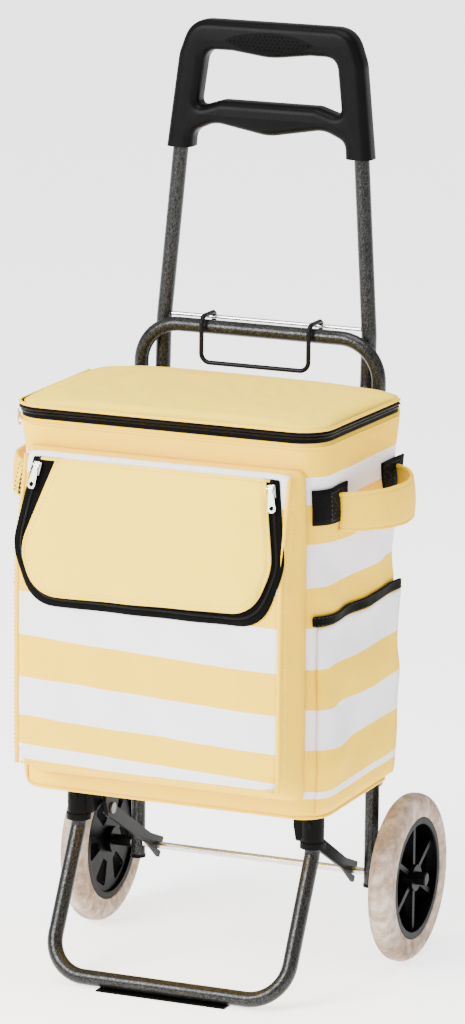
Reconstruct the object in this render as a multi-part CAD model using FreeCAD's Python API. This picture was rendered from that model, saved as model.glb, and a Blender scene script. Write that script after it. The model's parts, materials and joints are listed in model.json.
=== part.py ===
import FreeCAD, Part
import math
import os

# A folding shopping trolley: a bent tube frame on two wheels, a folding foot
# and platform, a folding handle and a soft bag that hangs on the frame.
# Millimetres.  +X is the trolley's left-hand side seen from the front, +Y is
# the back, +Z is up.  Everything is drawn from the plane of the two rear legs
# (y = 0) and from the ground (z = 0), then moved along Y so that the origin
# lies under the middle of the whole trolley.

# ---- overall sizes -------------------------------------------------------
bag_half_width = 157.0
leg_inset = 32.5              # a rear leg stands this far in from the bag's side
wheel_radius = 82.5
wheel_width = 25.0
wheel_reach = 38.5            # from the leg to the middle of the wheel beside it
frame_top_z = 610.0           # middle of the crossbar
frame_bend = 40.0             # bend radius of the frame's top corners
handle_top_z = 906.0

# ---- tubes, rods and fits ------------------------------------------------
frame_tube_radius = 7.0
handle_tube_radius = 7.5
foot_tube_radius = 7.5
tube_wall = 1.2
axle_radius = 3.5
rivet_radius = 3.0
rivet_head_radius = 5.5
rivet_head_height = 1.8
run_fit = 0.05                # radial clearance of a turning fit
slip_fit = 0.05               # radial clearance of a fixed push fit
gap = 0.3                     # free gap between bodies that move past each other

# ---- bag -----------------------------------------------------------------
bag_back_y = -18.0
bag_depth_bottom = 197.0      # front to back at the base
bag_depth_middle = 200.0
bag_depth_top = 210.0         # the mouth leans forward a little
bag_bottom_z = 190.4
bag_shoulder_z = 480.0        # above this the front leans forward
bag_rim_z = 554.0
bag_corner = 30.0
bag_wall = 5.0                # foil-lined foam between two cloths
lid_thickness = 9.0
tape_height = 6.4
tape_thickness = 2.4
base_board_thickness = 3.0

# ---- platform, foot and struts -------------------------------------------
platform_pivot_z = 176.0
elbow_pivot_y = -125.0
elbow_pivot_z = 170.0
sleeve_inset = 2.2            # the foot's sleeves stand just inside the legs
sleeve_y = -147.0
sleeve_radius = 11.0
sleeve_bottom_z = 145.5
sleeve_top_z = 186.0
foot_bar_y = -217.0
foot_bar_z = 9.5
foot_side_bend = 38.0         # bend radius where a side of the foot meets its bar
foot_plate_setback = 17.3     # from the end of that bend to the end of the foot plate
foot_rivet_inset = 22.0
strut_pivot_y = -122.0
strut_pivot_z = 152.0
arm_thickness = 4.0
arm_inset = 26.5              # from the leg to the inner face of a platform arm
strut_thickness = 3.0
lug_thickness = 4.8

# ---- handle --------------------------------------------------------------
handle_pivot_z = frame_top_z - 120
handle_pivot_gap = 2.5        # between a handle tube and the leg beside it
handle_kink_z = frame_top_z - 45
handle_bend_z = frame_top_z + 2
handle_lean = 0.043           # backward slope above the kink
grip_bottom_z = handle_top_z - 124.5
grip_bottom_x = 94.3
grip_thickness = 26.0
bail_wire_radius = 2.25
bail_half_width = 56.0
bail_bottom_z = frame_top_z - 33
cross_rod_radius = 2.0
cross_rod_z = frame_top_z + frame_tube_radius

# ---- front pocket and flap -----------------------------------------------
pocket_half_width_back = bag_half_width - 15
pocket_half_width_front = pocket_half_width_back - 8
pocket_front_y = -265.0
pocket_bottom_z = 208.0
pocket_front_bottom_z = 228.0
pocket_slope_z = 430.0        # the front leans back above this height
pocket_top_z = 528.0
pocket_top_y = -244.0
pocket_wall = 3.0
flap_thickness = 3.0
zip_band = 11.0               # width of the pocket's zip tape
zip_top_x = pocket_half_width_front - 17      # the U of the pocket's zip opens out from here
zip_wide_x = zip_top_x + 14                   # to here
zip_wide_z = 442.0
zip_low_z = 393.0

LEFT, RIGHT = -1, 1
SIDES = {"left": LEFT, "right": RIGHT}
nodes = {}


# ---- helpers -------------------------------------------------------------
def point(x, y, z):
    return FreeCAD.Vector(x, y, z)


def box_between(low, high):
    size = [high[i] - low[i] for i in range(3)]
    return Part.makeBox(*size, point(*low))


def rod_x(x0, x1, y, z, radius):
    """A round bar along X."""
    return Part.makeCylinder(radius, abs(x1 - x0), point(min(x0, x1), y, z), point(1, 0, 0))


def ring_x(x0, x1, y, z, outer, inner):
    return rod_x(x0, x1, y, z, outer).cut(rod_x(x0, x1, y, z, inner))


def mirrored(shape):
    """The same piece on the other side of the centre plane."""
    return shape.mirror(point(0, 0, 0), point(1, 0, 0))


def bent_path(corners, bends):
    """Straight runs joined by tangent arcs, one bend radius per inner corner."""
    corners = [point(*c) for c in corners]
    edges = []
    here = corners[0]
    for i, radius in enumerate(bends, start=1):
        into = (corners[i] - corners[i - 1]).normalize()
        out = (corners[i + 1] - corners[i]).normalize()
        half_turn = into.getAngle(out) / 2
        setback = radius * math.tan(half_turn)
        rise = radius / math.cos(half_turn) - radius
        start = corners[i] - into * setback
        finish = corners[i] + out * setback
        middle = corners[i] + (out - into).normalize() * rise
        edges.append(Part.makeLine(here, start))
        edges.append(Part.Arc(start, middle, finish).toShape())
        here = finish
    edges.append(Part.makeLine(here, corners[-1]))
    return Part.Wire(edges)


def swept(path, radius):
    """A round bar that follows the path."""
    first = path.Edges[0]
    start = first.valueAt(first.FirstParameter)
    heading = first.tangentAt(first.FirstParameter)
    ring = Part.Wire([Part.makeCircle(radius, start, heading)])
    return path.makePipeShell([ring], True, False)


def tube_along(corners, bends, radius):
    path = bent_path(corners, bends)
    return swept(path, radius).cut(swept(path, radius - tube_wall))


def rounded_outline(corners, axis):
    """A closed face in a plane across the axis; corners are (u, v, radius)."""
    place = {"x": lambda u, v: point(0, u, v),
             "y": lambda u, v: point(u, 0, v),
             "z": lambda u, v: point(u, v, 0)}[axis]
    count = len(corners)
    edges = []
    ends = []
    for i in range(count):
        before = place(*corners[i - 1][:2])
        corner = place(*corners[i][:2])
        after = place(*corners[(i + 1) % count][:2])
        radius = corners[i][2]
        if radius == 0:
            ends.append((corner, corner, None))
            continue
        into = (corner - before).normalize()
        out = (after - corner).normalize()
        half_turn = into.getAngle(out) / 2
        setback = radius * math.tan(half_turn)
        rise = radius / math.cos(half_turn) - radius
        middle = corner + (out - into).normalize() * rise
        ends.append((corner - into * setback, corner + out * setback, middle))
    for i, (start, finish, middle) in enumerate(ends):
        if middle is not None:
            edges.append(Part.Arc(start, middle, finish).toShape())
        following = ends[(i + 1) % count][0]
        if finish.distanceToPoint(following) > 1e-6:
            edges.append(Part.makeLine(finish, following))
    return Part.Face(Part.Wire(edges))


def slab_x(corners, x0, x1):
    """An outline in the YZ plane, given thickness from x0 to x1."""
    low, high = min(x0, x1), max(x0, x1)
    face = rounded_outline(corners, "x")
    face.translate(point(low, 0, 0))
    return face.extrude(point(high - low, 0, 0))


def slab_y(corners, y0, y1):
    face = rounded_outline(corners, "y")
    face.translate(point(0, y0, 0))
    return face.extrude(point(0, y1 - y0, 0))


def slab_z(corners, z0, z1):
    face = rounded_outline(corners, "z")
    face.translate(point(0, 0, z0))
    return face.extrude(point(0, 0, z1 - z0))


def fused(shapes):
    whole = shapes[0].multiFuse(shapes[1:]).removeSplitter()
    if len(whole.Solids) != 1:
        raise ValueError("pieces that should be one came apart: %d" % len(whole.Solids))
    return whole.Solids[0]


def group(shapes):
    return Part.makeCompound([s for shape in shapes for s in shape.Solids])


def rivet_x(x0, x1, y, z, radius=rivet_radius):
    """A rivet along X with a domed head at each end of the clamped stack."""
    outward = 1 if x1 > x0 else -1
    heads = []
    for face, way in ((x0, -outward), (x1, outward)):
        heads.append(rod_x(face, face + way * rivet_head_height, y, z, rivet_head_radius))
    heads.append(rod_x(x0, x1, y, z, radius))
    return fused(heads)


# ---- main frame ----------------------------------------------------------
axle_z = wheel_radius
leg_x = bag_half_width - leg_inset
wheel_centre_x = leg_x + wheel_reach
sleeve_x = leg_x - sleeve_inset
arm_inner_x = leg_x - arm_inset
leg_bottom_z = axle_z - 11.5
leg_outer_x = leg_x + frame_tube_radius
leg_inner_x = leg_x - frame_tube_radius
arm_outer_x = arm_inner_x + arm_thickness
handle_low_x = leg_inner_x - handle_pivot_gap - handle_tube_radius
crossing_z = frame_top_z - frame_tube_radius
crossing_y = frame_tube_radius + handle_tube_radius + 0.8      # just behind the crossbar
handle_kink_y = crossing_y - (crossing_z - handle_kink_z) * handle_lean
grip_y = handle_kink_y + (grip_bottom_z - handle_kink_z) * handle_lean
bail_front_y = -frame_tube_radius - bail_wire_radius - 2.75
strap_heights = (230.0, 440.0)
strap_height = 25.0
strap_thickness = 1.5


def make_main_frame():
    tube = tube_along([(-leg_x, 0, leg_bottom_z), (-leg_x, 0, frame_top_z),
                       (leg_x, 0, frame_top_z), (leg_x, 0, leg_bottom_z)],
                      [frame_bend, frame_bend], frame_tube_radius)
    reach = leg_outer_x + 10
    tube = tube.cut(rod_x(-reach, reach, 0, axle_z, axle_radius + slip_fit))
    for z in (platform_pivot_z, handle_pivot_z):
        tube = tube.cut(rod_x(-reach, reach, 0, z, rivet_radius + slip_fit))
    nodes["main_frame_tube"] = tube

    plug_core = Part.makeCylinder(frame_tube_radius - tube_wall - slip_fit, 5, point(leg_x, 0, leg_bottom_z))
    plug_cap = Part.makeCylinder(frame_tube_radius + 0.6, 3, point(leg_x, 0, leg_bottom_z - 3))
    plug = fused([plug_core, plug_cap])
    nodes["leg_end_plugs"] = group([plug, mirrored(plug)])


def make_axle():
    axle_end = wheel_centre_x + wheel_width / 2 + 6
    nodes["axle"] = rod_x(-axle_end, axle_end, 0, axle_z, axle_radius)
    spacer = ring_x(leg_outer_x + gap, hub_inner_x - gap, 0, axle_z, 5.5, axle_radius + slip_fit)
    nodes["axle_spacers"] = group([spacer, mirrored(spacer)])
    cap_start = hub_outer_x + gap
    cap = rod_x(cap_start, axle_end + 1.5, 0, axle_z, 6.5)
    cap = cap.makeFillet(1.4, [e for e in cap.Edges if abs(e.CenterOfMass.x - axle_end - 1.5) < 0.01])
    cap = cap.cut(rod_x(cap_start, axle_end, 0, axle_z, axle_radius))
    nodes["axle_end_caps"] = group([cap, mirrored(cap)])


def make_frame_rivets():
    platform_rivet = rivet_x(arm_inner_x - gap, leg_outer_x + gap, 0, platform_pivot_z)
    nodes["platform_pivot_rivets"] = group([platform_rivet, mirrored(platform_rivet)])
    spacer = ring_x(arm_outer_x + gap, leg_inner_x - gap, 0, platform_pivot_z,
                    5.5, rivet_radius + slip_fit)
    nodes["platform_pivot_spacers"] = group([spacer, mirrored(spacer)])
    tube_inner = handle_low_x - handle_tube_radius
    tube_outer = handle_low_x + handle_tube_radius
    handle_rivet = rivet_x(tube_inner - gap, leg_outer_x + gap, 0, handle_pivot_z)
    nodes["handle_pivot_rivets"] = group([handle_rivet, mirrored(handle_rivet)])
    washer = ring_x(tube_outer + gap, leg_inner_x - gap, 0, handle_pivot_z,
                    6.0, rivet_radius + slip_fit)
    nodes["handle_pivot_washers"] = group([washer, mirrored(washer)])


def make_frame_straps():
    inner = frame_tube_radius + gap
    loops = []
    for z in strap_heights:
        outer = Part.makeCylinder(inner + strap_thickness, strap_height, point(leg_x, 0, z))
        loop = outer.cut(Part.makeCylinder(inner, strap_height, point(leg_x, 0, z)))
        loops += [loop, mirrored(loop)]
    nodes["frame_straps"] = group(loops)


# ---- wheels --------------------------------------------------------------
rim_radius = wheel_radius - 22.5
rim_wall = 7.0
hub_boss_radius = 13.0
hub_inner_x = wheel_centre_x - wheel_width / 2 - 1
hub_outer_x = wheel_centre_x + wheel_width / 2 - 3
bush_radius = 5.5
spoke_count = 6


def revolved_x(corners, z_axis):
    """A ring about the axle line; corners are (x, distance from the line, radius)."""
    face = rounded_outline([(u, v + z_axis, r) for u, v, r in corners], "y")
    return face.revolve(point(0, 0, z_axis), point(1, 0, 0), 360)


def make_wheel(side):
    half = wheel_width / 2
    x = wheel_centre_x
    tyre = revolved_x([(x - half + 1.5, rim_radius + slip_fit, 1), (x + half - 1.5, rim_radius + slip_fit, 1),
                       (x + half, rim_radius + 8, 5), (x + half - 1, wheel_radius, 10.5),
                       (x - half + 1, wheel_radius, 10.5), (x - half, rim_radius + 8, 5)], axle_z)
    rim = revolved_x([(x - half + 2, rim_radius - rim_wall, 1), (x + half - 2, rim_radius - rim_wall, 1),
                      (x + half - 2, rim_radius, 1), (x - half + 2, rim_radius, 1)], axle_z)
    web_x = x - half + 5
    web = ring_x(web_x, web_x + 3, 0, axle_z, rim_radius - rim_wall + 1, hub_boss_radius - 1)
    boss = rod_x(hub_inner_x, hub_outer_x, 0, axle_z, hub_boss_radius)
    spoke = box_between((web_x + 1, -2.6, axle_z + hub_boss_radius - 2),
                        (x + half - 6, 2.6, axle_z + rim_radius - rim_wall + 2))
    rim_inner = rim_radius - rim_wall
    half_far = 0.29 * rim_inner - 2
    window = slab_x([(-half_far, rim_inner - 6.5, 4), (half_far, rim_inner - 6.5, 4),
                     (5.2, hub_boss_radius + 9, 3), (-5.2, hub_boss_radius + 9, 3)], web_x - 1, web_x + 4)
    window.translate(point(0, 0, axle_z))
    spokes = []
    windows = []
    for i in range(spoke_count):
        turn = 360.0 / spoke_count
        arm = spoke.copy()
        arm.rotate(point(0, 0, axle_z), point(1, 0, 0), i * turn)
        spokes.append(arm)
        opening = window.copy()
        opening.rotate(point(0, 0, axle_z), point(1, 0, 0), (i + 0.5) * turn)
        windows.append(opening)
    hub = fused([rim, web, boss] + spokes)
    for opening in windows:
        hub = hub.cut(opening)
    hub = hub.cut(rod_x(hub_inner_x - 1, hub_outer_x + 1, 0, axle_z, bush_radius + slip_fit))
    bush = ring_x(hub_inner_x, hub_outer_x, 0, axle_z, bush_radius, axle_radius + run_fit)
    pieces = {"tyre": tyre, "wheel_hub": hub, "wheel_bush": bush}
    for name, shape in pieces.items():
        nodes[name + ("_right" if side == RIGHT else "_left")] = shape if side == RIGHT else mirrored(shape)


# ---- platform, struts and foot -------------------------------------------
arm_top_z = bag_bottom_z - 2 * gap
strut_inner_x = arm_outer_x + 2 * gap
lug_inner_x = strut_inner_x + strut_thickness + 2 * gap
lug_outer_x = lug_inner_x + lug_thickness
jaw_clearance = 0.45


def make_platform():
    ear = strut_pivot_z - 8
    arm = slab_x([(9, platform_pivot_z - 10, 6), (9, platform_pivot_z + 8, 6), (-6, arm_top_z, 3),
                  (elbow_pivot_y - 9, arm_top_z, 4), (elbow_pivot_y - 12, elbow_pivot_z - 8, 5),
                  (strut_pivot_y - 8, ear, 5), (strut_pivot_y + 8, ear, 5),
                  (strut_pivot_y + 20, platform_pivot_z - 10, 6)], arm_inner_x, arm_outer_x)
    for y, z, radius in ((0, platform_pivot_z, rivet_radius + run_fit),
                         (elbow_pivot_y, elbow_pivot_z, rivet_radius + slip_fit),
                         (strut_pivot_y, strut_pivot_z, rivet_radius + slip_fit)):
        arm = arm.cut(rod_x(arm_inner_x - 1, arm_outer_x + 1, y, z, radius))
    nodes["platform_arm_right"] = arm
    nodes["platform_arm_left"] = mirrored(arm)
    rods = [rod_x(-arm_inner_x, arm_inner_x, y, platform_pivot_z + 4, 4) for y in (-35.0, -95.0)]
    nodes["platform_rods"] = group(rods)
    elbow_rivet = rivet_x(arm_inner_x, lug_outer_x + gap, elbow_pivot_y, elbow_pivot_z)
    nodes["elbow_rivets"] = group([elbow_rivet, mirrored(elbow_rivet)])
    strut_rivet = fused([rod_x(arm_inner_x, strut_inner_x + strut_thickness, strut_pivot_y, strut_pivot_z,
                               rivet_radius),
                         rod_x(arm_inner_x - rivet_head_height, arm_inner_x, strut_pivot_y, strut_pivot_z,
                               rivet_head_radius)])
    nodes["strut_rivets"] = group([strut_rivet, mirrored(strut_rivet)])


def make_struts():
    length = math.hypot(strut_pivot_y, strut_pivot_z - axle_z)
    drop = math.degrees(math.atan2(strut_pivot_z - axle_z, -strut_pivot_y))
    slot = axle_radius + jaw_clearance
    jaw_end = length + 9
    x0, x1 = strut_inner_x, strut_inner_x + strut_thickness
    bar = slab_x([(-7, -7, 6), (length - 24, -6, 20), (jaw_end, -11, 2), (jaw_end, 11, 2),
                  (length - 24, 6, 20), (-7, 7, 6)], x0, x1)
    mouth = slab_x([(length - slot, -slot, slot - 0.05), (jaw_end + 1, -slot, 0), (jaw_end + 1, slot, 0),
                    (length - slot, slot, slot - 0.05)], x0 - 1, x1 + 1)
    bar = bar.cut(mouth)
    bar = bar.cut(rod_x(x0 - 1, x1 + 1, 0, 0, rivet_radius + run_fit))
    bar.rotate(point(0, 0, 0), point(1, 0, 0), -drop)
    bar.translate(point(0, strut_pivot_y, strut_pivot_z))
    nodes["strut_right"] = bar
    nodes["strut_left"] = mirrored(bar)


def make_elbows():
    sleeve = Part.makeCylinder(sleeve_radius, sleeve_top_z - sleeve_bottom_z,
                               point(sleeve_x, sleeve_y, sleeve_bottom_z))
    collar = Part.makeCylinder(sleeve_radius + 1.2, 6, point(sleeve_x, sleeve_y, sleeve_bottom_z))
    lug = slab_x([(elbow_pivot_y + 9, elbow_pivot_z - 9, 8), (elbow_pivot_y + 9, elbow_pivot_z + 9, 8),
                  (sleeve_y, sleeve_top_z - 4, 2), (sleeve_y, sleeve_bottom_z + 8, 2)], lug_inner_x, lug_outer_x)
    neck = box_between((lug_inner_x, sleeve_y - 5, sleeve_bottom_z + 8),
                       (sleeve_x, sleeve_y + 7, sleeve_top_z - 4))
    elbow = fused([sleeve, collar, lug, neck])
    socket_top = sleeve_top_z - 6
    bore = Part.makeCylinder(foot_tube_radius + slip_fit, socket_top - sleeve_bottom_z + 1,
                             point(sleeve_x, sleeve_y, sleeve_bottom_z - 1))
    elbow = elbow.cut(bore)
    elbow = elbow.cut(rod_x(lug_inner_x - 1, lug_outer_x + 1, elbow_pivot_y, elbow_pivot_z,
                            rivet_radius + run_fit))
    screw_z = (sleeve_bottom_z + sleeve_top_z) / 2 + 4
    screw_front = sleeve_y - sleeve_radius
    elbow = elbow.cut(Part.makeCylinder(2.05, 2 * sleeve_radius, point(sleeve_x, screw_front - 3, screw_z),
                                        point(0, 1, 0)))
    nodes["elbow_right"] = elbow
    nodes["elbow_left"] = mirrored(elbow)
    screw = fused([Part.makeCylinder(2.0, 6, point(sleeve_x, screw_front, screw_z), point(0, 1, 0)),
                   Part.makeCylinder(3.8, 1.6, point(sleeve_x, screw_front - 1.6, screw_z), point(0, 1, 0))])
    nodes["elbow_screws"] = group([screw, mirrored(screw)])
    return socket_top, screw_z


def make_foot(socket_top, screw_z):
    top = socket_top - 1
    kink_z = sleeve_bottom_z - 6
    tube = tube_along([(-sleeve_x, sleeve_y, top), (-sleeve_x, sleeve_y, kink_z),
                       (-sleeve_x, foot_bar_y, foot_bar_z), (sleeve_x, foot_bar_y, foot_bar_z),
                       (sleeve_x, sleeve_y, kink_z), (sleeve_x, sleeve_y, top)],
                      [22, foot_side_bend, foot_side_bend, 22], foot_tube_radius)
    for x in (-sleeve_x, sleeve_x):
        tube = tube.cut(Part.makeCylinder(2.05, 10, point(x, sleeve_y - 10, screw_z), point(0, 1, 0)))
    nodes["foot_tube"] = tube

    half = sleeve_x - foot_side_bend - foot_plate_setback
    seat = foot_tube_radius + gap
    shell = ring_x(-half, half, foot_bar_y, foot_bar_z, foot_bar_z, seat)
    quarter = box_between((-half, foot_bar_y, 0), (half, foot_bar_y + 20, foot_bar_z + 5))
    sole = box_between((-half, foot_bar_y - 11, 0), (half, foot_bar_y + 11, foot_bar_z - seat - 0.1))
    plate = fused([shell.common(quarter), sole])
    nodes["foot_plate"] = plate
    rivets = []
    for x in (foot_rivet_inset - half, half - foot_rivet_inset):
        shank = Part.makeCylinder(1.5, 7, point(x, foot_bar_y + foot_tube_radius - tube_wall, foot_bar_z),
                                  point(0, 1, 0))
        head = Part.makeCylinder(3.2, 1.4, point(x, foot_bar_y + foot_bar_z + 0.1, foot_bar_z), point(0, 1, 0))
        rivets.append(fused([shank.cut(box_between((x - 5, foot_bar_y + foot_bar_z + 1, 0),
                                                   (x + 5, foot_bar_y + 40, 20))), head]))
        hole = Part.makeCylinder(1.5 + slip_fit, 12, point(x, foot_bar_y, foot_bar_z), point(0, 1, 0))
        nodes["foot_plate"] = nodes["foot_plate"].cut(hole)
        nodes["foot_tube"] = nodes["foot_tube"].cut(hole)
    nodes["foot_plate_rivets"] = group(rivets)


# ---- handle --------------------------------------------------------------
inward = (handle_low_x - grip_bottom_x) / (grip_bottom_z - handle_bend_z)
tube_top_z = grip_bottom_z + 57


def handle_tube_y(z):
    """Middle of a handle tube, above the kink."""
    return handle_kink_y + (z - handle_kink_z) * handle_lean


def handle_tube_x(z):
    return handle_low_x - max(0, z - handle_bend_z) * inward


def make_handle_tubes():
    low_slope = handle_kink_y / (handle_kink_z - handle_pivot_z)
    low_z = handle_pivot_z - 12
    tube = tube_along([(handle_low_x, -12 * low_slope, low_z), (handle_low_x, handle_kink_y, handle_kink_z),
                       (handle_low_x, handle_tube_y(handle_bend_z), handle_bend_z),
                       (handle_tube_x(tube_top_z), handle_tube_y(tube_top_z), tube_top_z)],
                      [60, 60], handle_tube_radius)
    tube = tube.cut(rod_x(handle_low_x - 12, handle_low_x + 12, 0, handle_pivot_z, rivet_radius + run_fit))
    nodes["handle_tube_right"] = tube
    nodes["handle_tube_left"] = mirrored(tube)
    nearest = min(handle_tube_x(cross_rod_z + cross_rod_radius), handle_tube_x(cross_rod_z - cross_rod_radius))
    end = nearest - handle_tube_radius - gap
    nodes["handle_cross_rod"] = rod_x(-end, end, handle_tube_y(cross_rod_z), cross_rod_z, cross_rod_radius)


def make_grip():
    half = grip_thickness / 2
    top = handle_top_z
    foot_in = grip_bottom_x - 13.3
    foot_out = grip_bottom_x + 13.5
    low = grip_bottom_z
    right = [(57, low + 25.5, 12), (foot_in - 2, low + 15.5, 10), (foot_in, low, 1), (foot_out, low, 1),
             (foot_out - 11.8, top - 34, 40), (foot_out - 23.8, top, 28)]
    outline = [(0, low + 15.5, 150)] + right + [(-x, z, r) for x, z, r in reversed(right)]
    pane = [(40, top - 29, 20), (68, top - 29, 14), (75, low + 39.5, 2), (50, low + 47.5, 20)]
    window = [(0, top - 34, 120)] + pane + [(-x, z, r) for x, z, r in reversed(pane)]
    grip = slab_y(outline, -half, half).cut(slab_y(window, -half - 1, half + 1))
    grip.rotate(point(0, 0, grip_bottom_z), point(1, 0, 0), -math.degrees(math.atan(handle_lean)))
    grip.translate(point(0, grip_y, 0))
    foot = point(handle_tube_x(grip_bottom_z), handle_tube_y(grip_bottom_z), grip_bottom_z)
    head = point(handle_tube_x(tube_top_z), handle_tube_y(tube_top_z), tube_top_z)
    heading = (head - foot).normalize()
    socket = Part.makeCylinder(handle_tube_radius + slip_fit, (head - foot).Length + 11,
                               foot - heading * 10, heading)
    grip = grip.cut(socket).cut(mirrored(socket))
    screw_at = foot + heading * 20
    back = point(0, -1, 0)
    screw_start = screw_at + point(0, half + 2, 0)
    hole = Part.makeCylinder(1.5 + slip_fit, half + 4, screw_start, back)
    grip = grip.cut(hole).cut(mirrored(hole))
    for name in ("handle_tube_right", "handle_tube_left"):
        nodes[name] = nodes[name].cut(hole).cut(mirrored(hole))
    screw = fused([Part.makeCylinder(1.5, half - 3, screw_start, back),
                   Part.makeCylinder(3.2, 1.5, screw_start + point(0, 1.5, 0), back)])
    nodes["grip_screws"] = group([screw, mirrored(screw)])

    pad_z = top - 16
    pad_y = grip_y + (pad_z - grip_bottom_z) * handle_lean
    lens = slab_y([(-46, pad_z - 1, 4), (0, pad_z - 12, 90), (46, pad_z - 1, 4), (0, pad_z + 9, 90)],
                  pad_y - half - 1.4, pad_y - half + 1.6)
    seat = slab_y([(-46, pad_z - 1, 4), (0, pad_z - 12, 90), (46, pad_z - 1, 4), (0, pad_z + 9, 90)],
                  pad_y - half - 5, pad_y - half + 1.6)
    nodes["handle_grip"] = grip.cut(seat)
    nodes["grip_pad"] = lens


def make_bail():
    rod_y = handle_tube_y(cross_rod_z)
    eye = cross_rod_radius + run_fit + bail_wire_radius
    high = cross_rod_z + eye
    corners = [(bail_front_y, high, 8), (bail_front_y, bail_bottom_z, 9)]
    x = bail_half_width
    front = bent_path([(x, rod_y, high), (x, corners[0][0], corners[0][1]), (x, corners[1][0], corners[1][1]),
                       (-x, corners[1][0], corners[1][1]), (-x, corners[0][0], corners[0][1]),
                       (-x, rod_y, high)], [8, 9, 9, 8])
    hooks = []
    for side in (x, -x):
        hooks.append(Part.Arc(point(side, rod_y, cross_rod_z - eye), point(side, rod_y + eye, cross_rod_z),
                              point(side, rod_y, high)).toShape())
    path = Part.Wire([hooks[0]] + front.Edges + [hooks[1]])
    nodes["bail"] = swept(path, bail_wire_radius)


# ---- bag -----------------------------------------------------------------
lining_thickness = 1.2
lid_overhang = 1.5
lid_start_z = bag_rim_z + tape_height + 2 * gap
side_pocket_bottom_z = bag_bottom_z + 5.6
side_pocket_top_z = 378.0
binding_height = 11.0
side_pocket_front_x = pocket_half_width_back + 3
side_pocket_rear_y = -30.0
webbing_low_z = bag_rim_z - 79
webbing_high_z = webbing_low_z + 34
carry_low_z = webbing_low_z - 8
carry_high_z = carry_low_z + 33
webbing_front_y = -172.0
webbing_rear_y = -76.0
carry_bow = 37.0
carry_half_length = 78.0
carry_middle_y = -118.0
carry_thickness = 4.0


def bag_front_y(z):
    """Front face of the bag's body at a height."""
    if z <= bag_shoulder_z:
        share = (z - bag_bottom_z) / (bag_shoulder_z - bag_bottom_z)
        return bag_back_y - bag_depth_bottom - share * (bag_depth_middle - bag_depth_bottom)
    share = min(1, (z - bag_shoulder_z) / (bag_rim_z - bag_shoulder_z))
    return bag_back_y - bag_depth_middle - share * (bag_depth_top - bag_depth_middle)


def bag_section(z, grow):
    x = bag_half_width + grow
    front = bag_front_y(z) - grow
    back = bag_back_y + grow
    radius = bag_corner + grow
    face = rounded_outline([(-x, front, radius), (x, front, radius), (x, back, radius), (-x, back, radius)], "z")
    face.translate(point(0, 0, z))
    return face.OuterWire


def bag_block(grow, z0, z1):
    """A solid with the bag's outline, grown sideways, from z0 to z1."""
    heights = [z0] + [z for z in (bag_shoulder_z, bag_rim_z) if z0 < z < z1] + [z1]
    return Part.makeLoft([bag_section(z, grow) for z in heights], True, True)


def make_bag_body():
    inner = bag_wall + slip_fit
    deep = inner + lining_thickness
    shell = bag_block(0, bag_bottom_z, bag_rim_z)
    nodes["bag_shell"] = shell.cut(bag_block(-bag_wall, bag_bottom_z + bag_wall, bag_rim_z + 1))
    lining = bag_block(-inner, bag_bottom_z + inner, bag_rim_z)
    nodes["bag_lining"] = lining.cut(bag_block(-deep, bag_bottom_z + deep, bag_rim_z + 1))
    board_z = bag_bottom_z + deep + slip_fit
    nodes["base_board"] = bag_block(-deep - 1.5, board_z, board_z + base_board_thickness)
    open_sides = box_between((-400, bag_back_y - bag_corner, 0), (400, 400, 900))
    tape = bag_block(0, bag_rim_z + slip_fit, bag_rim_z + tape_height)
    tape = tape.cut(bag_block(-tape_thickness, bag_rim_z - 1, bag_rim_z + tape_height + 1))
    nodes["body_zip_tape"] = tape.cut(open_sides).Solids[0]
    strip = box_between((-bag_half_width + bag_corner, bag_back_y + slip_fit, bag_rim_z - 24),
                        (bag_half_width - bag_corner, bag_back_y + 1.2, lid_start_z - 1.2))
    nodes["lid_hinge_strip"] = strip


def make_lid():
    top = lid_start_z + lid_thickness
    edge = lid_overhang - tape_thickness
    back_stop = box_between((-400, bag_back_y - 1, 0), (400, 400, 900))
    nodes["lid_panel"] = bag_block(edge - slip_fit, lid_start_z, top).cut(back_stop)
    tape = bag_block(lid_overhang, lid_start_z, lid_start_z + tape_height)
    tape = tape.cut(bag_block(edge, lid_start_z - 1, top))
    open_back = box_between((-400, bag_back_y - bag_corner, 0), (400, 400, 900))
    nodes["lid_zip_tape"] = tape.cut(open_back).Solids[0]


def pocket_face_y(z):
    """Outer face of the front pocket at a height."""
    slope = (pocket_top_y - pocket_front_y) / (pocket_top_z - pocket_slope_z)
    return pocket_front_y + max(0, z - pocket_slope_z) * slope


def pocket_block(inset):
    inside_y = bag_back_y - bag_depth_bottom + 20
    front = pocket_front_y + inset
    profile = slab_x([(inside_y, pocket_bottom_z + inset, 0), (front, pocket_front_bottom_z + inset, 6),
                      (front, pocket_slope_z, 60), (pocket_top_y + inset, pocket_top_z - inset, 5),
                      (inside_y, pocket_top_z + 2 - inset, 0)],
                     -pocket_half_width_back, pocket_half_width_back)
    back_x = pocket_half_width_back - inset
    front_x = pocket_half_width_front - inset
    plan = slab_z([(-back_x, inside_y, 0), (-front_x, front, 8), (front_x, front, 8), (back_x, inside_y, 0)],
                  pocket_bottom_z - 10, pocket_top_z + 10)
    return profile.common(plan)


def zip_outline(grow, top_z):
    """The U of the pocket's zip, as an outline in the front plane."""
    half = [(zip_top_x + grow, top_z, 0), (zip_wide_x + grow, zip_wide_z, 48),
            (zip_wide_x - 19 + 0.7 * grow, zip_low_z - grow, 36)]
    return [(-x, z, r) for x, z, r in half] + [(x, z, r) for x, z, r in reversed(half)]


def front_band(offset0, offset1, z0, z1):
    """A curtain that follows the pocket's front face, between two offsets from it."""
    line = [(z0, 0), (pocket_slope_z, 60), (z1, 0)]
    near = [(pocket_face_y(z) - offset0, z, r) for z, r in line]
    far = [(pocket_face_y(z) - offset1, z, r) for z, r in line]
    width = pocket_half_width_back
    return slab_x(near + list(reversed(far)), -width, width)


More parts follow.
